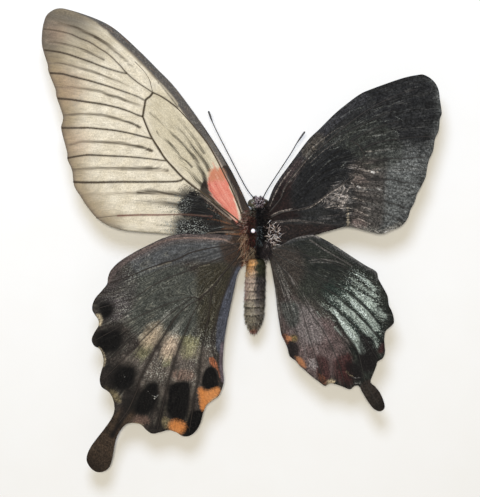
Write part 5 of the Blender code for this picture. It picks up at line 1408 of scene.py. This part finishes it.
def hairTones(roots, rng, zones):
    # each zone is a box in picture points with a few hair colours; the last that holds a root counts
    jitter = hairForm["jitter"]
    x = roots[:, 0] / picture["pixel"] + picture["middle"][0] + rng.normal(0, jitter, len(roots))
    y = picture["middle"][1] - roots[:, 1] / picture["pixel"] + rng.normal(0, jitter, len(roots))
    tones = np.zeros((len(roots), 4))
    for (x0, y0, x1, y1), hexTones in zones:
        held = (x >= x0) & (x < x1) & (y >= y0) & (y < y1)
        palette = np.array([colour(h) for h in hexTones])
        tones[held] = palette[rng.integers(0, len(palette), held.sum())]
    return tones


def addHair(name, strands, tones):
    # all the hairs of a piece in one mesh, each with its own tone
    mesh = tubes(name, strands)
    byPoint = (tones[:, None, :] * np.array(hairForm["shade"])[:, None]).reshape(-1, 4)
    centres = kdtree.KDTree(len(byPoint))       # the tubes' points come in no order, so each takes the nearest
    for k, place in enumerate(np.vstack([points for points, _ in strands])):
        centres.insert(place, k)
    centres.balance()
    perPoint = byPoint[[centres.find(place)[1] for place in pointsOf(mesh)]]
    perPoint[:, 3] = 1
    setTones(mesh, perPoint)
    addPiece(name, mesh, tonedSkin(name + "Fibre", roughness=0.5, grain=0.8, relief=0.01))
    print(name, len(strands), "hairs")


def skinHair(name, meshes, look, zones):
    # hair rooted all over some skins, evenly by area
    rng = np.random.default_rng(look["seed"])
    strands, allTones = [], []
    for mesh, count in zip(meshes, look["counts"]):
        corners = []
        for face in mesh.polygons:      # a spin gives its faces in any order, so each starts at its first point
            ring = list(face.vertices)
            first = ring.index(min(ring))
            ring = ring[first:] + ring[:first]
            corners += [(ring[0], ring[k], ring[k + 1]) for k in range(1, len(ring) - 1)]
        a, b, c = [pointsOf(mesh)[k] for k in np.array(sorted(corners)).T]
        normal = np.cross(b - a, c - a)
        area = np.linalg.norm(normal, axis=1)
        pick = rng.choice(len(area), count, p=area / area.sum())
        u, v = rng.random((2, count, 1))
        v = np.where(u + v > 1, 1 - v, v)
        u = np.where(u + v > 1, 1 - u, u)
        roots = a[pick] + (b - a)[pick] * u + (c - a)[pick] * v
        normals = normal[pick] / area[pick][:, None]
        strands += hairs(roots, normals, rng, look)
        allTones.append(hairTones(roots, rng, zones))
    addHair(name, strands, np.vstack(allTones))


def tuft(name, flat, hind, look, hexTones):
    # hair over a wing's base, rooted inside a closed row of picture points
    rng = np.random.default_rng(look["seed"])
    outline = smoothPath(fromPicture(flat), wingForm["markStep"], closed=True)
    spots = rng.uniform(outline.min(0), outline.max(0), (look["count"] * 4, 2))
    spots = spots[insideOf(spots, outline)][:look["count"]]
    if "z" in look:
        z = np.full(len(spots), look["z"])
    else:
        z = wingHeight(spots[:, 0], spots[:, 1], hind) + 0.05
    roots = np.column_stack((spots, z))
    palette = np.array([colour(h) for h in hexTones])
    strands = hairs(roots, np.tile((0.0, 0.0, 1.0), (len(roots), 1)), rng, look)
    addHair(name, strands, palette[rng.integers(0, len(palette), len(roots))])


# the body: skin forms, then the hair on them
thoraxMesh = makeThorax()
abdomenMesh = makeAbdomen()
headMesh, palpMesh = makeHead()
makeProboscis()
makeAntennae()
makeLegs()
print("body done")

# hair colours in boxes of picture points: left, top, right and bottom
everywhere = (0, 0, 480, 497)
skinHair("thoraxFur", (thoraxMesh,),
         {"seed": 5, "counts": (7500,), "length": 1.0, "thick": 0.05, "comb": (0, -0.5, 0), "lift": 0.7,
          "stray": 0.4},
         ((everywhere, ("0B0A0B", "100F10", "161516", "060606", "1E1B1A", "2C2624")),
          # beside the pin: black hair with pale blue-grey hairs among it, as painted glints
          ((256, 226, 261, 245), ("0B0C0E", "121416", "2C3336", "0B0C0E", "0F1113", "727B7C")),
          ((0, 0, 253, 497), ("6A4C40", "927468", "4A3028", "B49482", "1E1512", "6E3A2C", "CCAE98")),
          ((0, 0, 256, 216), ("2E3028", "3E4238", "1A1B17", "7C7A6E", "0E0E0D", "2A2A26")),
          ((248, 218, 256, 246), ("2E1815", "46231E", "180F0E", "5E332E", "0C0A0A", "1E1211")),
          ((0, 238, 248, 262), ("806A58", "A08C7A", "564036", "33261F", "C2AE9A", "7A4E3E")),
          ((249, 246, 255, 262), ("6A5A48", "8A7860", "3E3428", "A89880", "54382C"))))
skinHair("headFur", (headMesh, palpMesh),
         {"seed": 6, "counts": (2300, 600), "length": 0.6, "thick": 0.045, "comb": (0, 0.1, 0.1), "lift": 0.9,
          "stray": 0.45},
         ((everywhere, ("171416", "2B2424", "0D0C0D", "4A3C3E")),
          ((255, 0, 480, 206), ("2B2224", "8A7074", "0D0C0D", "C0AEB2", "F0E4E8", "191517")),
          ((0, 0, 255, 497), ("2E3428", "8A8E74", "1A1C17", "D8D6C4", "121310"))))
skinHair("abdomenFur", (abdomenMesh,),
         {"seed": 7, "counts": (5200,), "length": 0.75, "thick": 0.036, "comb": (0, -1.0, 0), "lift": 0.25,
          "stray": 0.35},
         ((everywhere, ("2A2A1C", "1A1A12", "34332A", "4A4934")),
          ((255, 276, 480, 300), ("2E2A28", "4C4643", "1A1817", "6E6662")),
          ((255, 300, 480, 330), ("3A3630", "726B61", "24211D", "A49C90", "4A453D")),
          ((0, 0, 255.0, 497), ("A0907E", "C4B4A0", "5E5044", "8E8072")),
          ((0, 0, 254, 276), ("C8945E", "A67C50", "E0BC90", "6A503A")),
          ((0, 276, 249, 300), ("A08074", "B89C90", "6E564E", "C8B4A8")),
          ((0, 300, 255, 330), ("857D6C", "B0A690", "453F36", "D0C6B0", "26231E")),
          ((0, 329, 480, 497), ("7A5448", "966C5E", "3E2A24"))))
tuft("tipTuft", (250, 325, 257, 325, 256, 330, 252, 330), True,
     {"seed": 16, "count": 90, "length": 1.7, "thick": 0.04, "comb": (-0.02, -1, -0.1), "lift": 0.1,
      "stray": 0.22, "z": 21.0},
     ("845044", "A06E60", "4E3029", "C09A8C", "2E1F1C"))
makePin()
tuft("furHindLeft", (241, 236, 249, 234, 250, 256, 246, 263, 243, 256), True,
     {"seed": 11, "count": 360, "length": 1.9, "thick": 0.04, "comb": (-0.35, -0.8, 0), "lift": 0.25,
      "stray": 0.3},
     ("8C6A50", "AC8C70", "5E4030", "33221A", "D0B496", "8A4A34", "1E1511"))
tuft("furForeLeft", (244, 215, 250, 211, 251, 236, 243, 236, 241, 226), False,
     {"seed": 12, "count": 280, "length": 1.7, "thick": 0.04, "comb": (-0.7, -0.1, 0), "lift": 0.3,
      "stray": 0.45},
     ("7A5248", "A07C70", "46302A", "C4A498", "181110", "6E3026"))
tuft("furForeRight", (262, 208, 266, 206, 269, 222, 265, 236, 261, 234), False,
     {"seed": 13, "count": 380, "length": 1.6, "thick": 0.04, "comb": (0.8, -0.25, 0), "lift": 0.3,
      "stray": 0.3},
     ("101012", "171719", "1E1816", "26201E", "0B0B0C", "4A3C38"))
tuft("furHindRight", (260, 240, 268, 240, 270, 252, 266, 258, 260, 254), True,
     {"seed": 14, "count": 380, "length": 1.9, "thick": 0.04, "comb": (0.4, -0.75, 0), "lift": 0.25,
      "stray": 0.3},
     ("101012", "1C191B", "2A2325", "292324", "5E5350"))
tuft("paleTuft", (265, 226, 270, 222, 276, 226, 280, 236, 276, 246, 269, 248, 266, 236), True,
     {"seed": 15, "count": 135, "length": 1.3, "thick": 0.062, "comb": (0.25, 0.05, 0), "lift": 0.25,
      "stray": 1.1},
     ("FFF8F0", "F0DED2", "2A201D", "FFFAF6", "8A7268", "1A1412", "D8C4B8"))
print("fur and pin done")

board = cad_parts["mount_board"]
board.data.materials.clear()
board.data.materials.append(foamSkin())


def addFloor():
    # a pale matt floor just under the board
    form = {"size": 900.0, "below": 0.3, "tone": "EAE7E2"}
    bm = bmesh.new()
    bmesh.ops.create_grid(bm, x_segments=1, y_segments=1, size=form["size"] / 2 * mm)
    bmesh.ops.translate(bm, vec=(0, 0, -form["below"] * mm), verts=bm.verts)
    mesh = bpy.data.meshes.new("floor")
    bm.to_mesh(mesh)
    bm.free()
    made, _, shader = startMaterial("paleFloor", 0.9)
    shader.inputs["Base Color"].default_value = colour(form["tone"])
    mesh.materials.append(made)
    floor = bpy.data.objects.new("floor", mesh)
    bpy.context.scene.collection.objects.link(floor)


addFloor()


def addLights():
    # a soft lamp on the head side, a smaller one over the middle, and a little light from all round
    lamps = {
        "headLamp": {"place": (-35.0, 195.0, 345.0), "across": 160.0, "power": 0.74, "tint": (0.85, 1.0, 1.32)},
        "topLamp": {"place": (-10.0, 20.0, 640.0), "across": 70.0, "power": 2.35, "tint": (1.0, 0.94, 0.80)},
    }
    studio = {"tint": (1.0, 0.975, 0.93, 1.0), "strength": 0.22}
    for name, lampForm in lamps.items():
        lamp = bpy.data.lights.new(name, "AREA")
        lamp.shape = "DISK"
        lamp.size = lampForm["across"] * mm
        lamp.energy = lampForm["power"]
        lamp.color = lampForm["tint"]
        made = bpy.data.objects.new(name, lamp)
        made.location = Vector(lampForm["place"]) * mm
        made.rotation_euler = Vector(lampForm["place"]).to_track_quat("Z", "Y").to_euler()
        made.visible_camera = False
        bpy.context.scene.collection.objects.link(made)
    world = bpy.data.worlds.new("studio")
    world.use_nodes = True
    around = world.node_tree.nodes["Background"]
    around.inputs["Color"].default_value = studio["tint"]
    around.inputs["Strength"].default_value = studio["strength"]
    bpy.context.scene.world = world


addLights()
bpy.context.scene.view_settings.view_transform = "Standard"
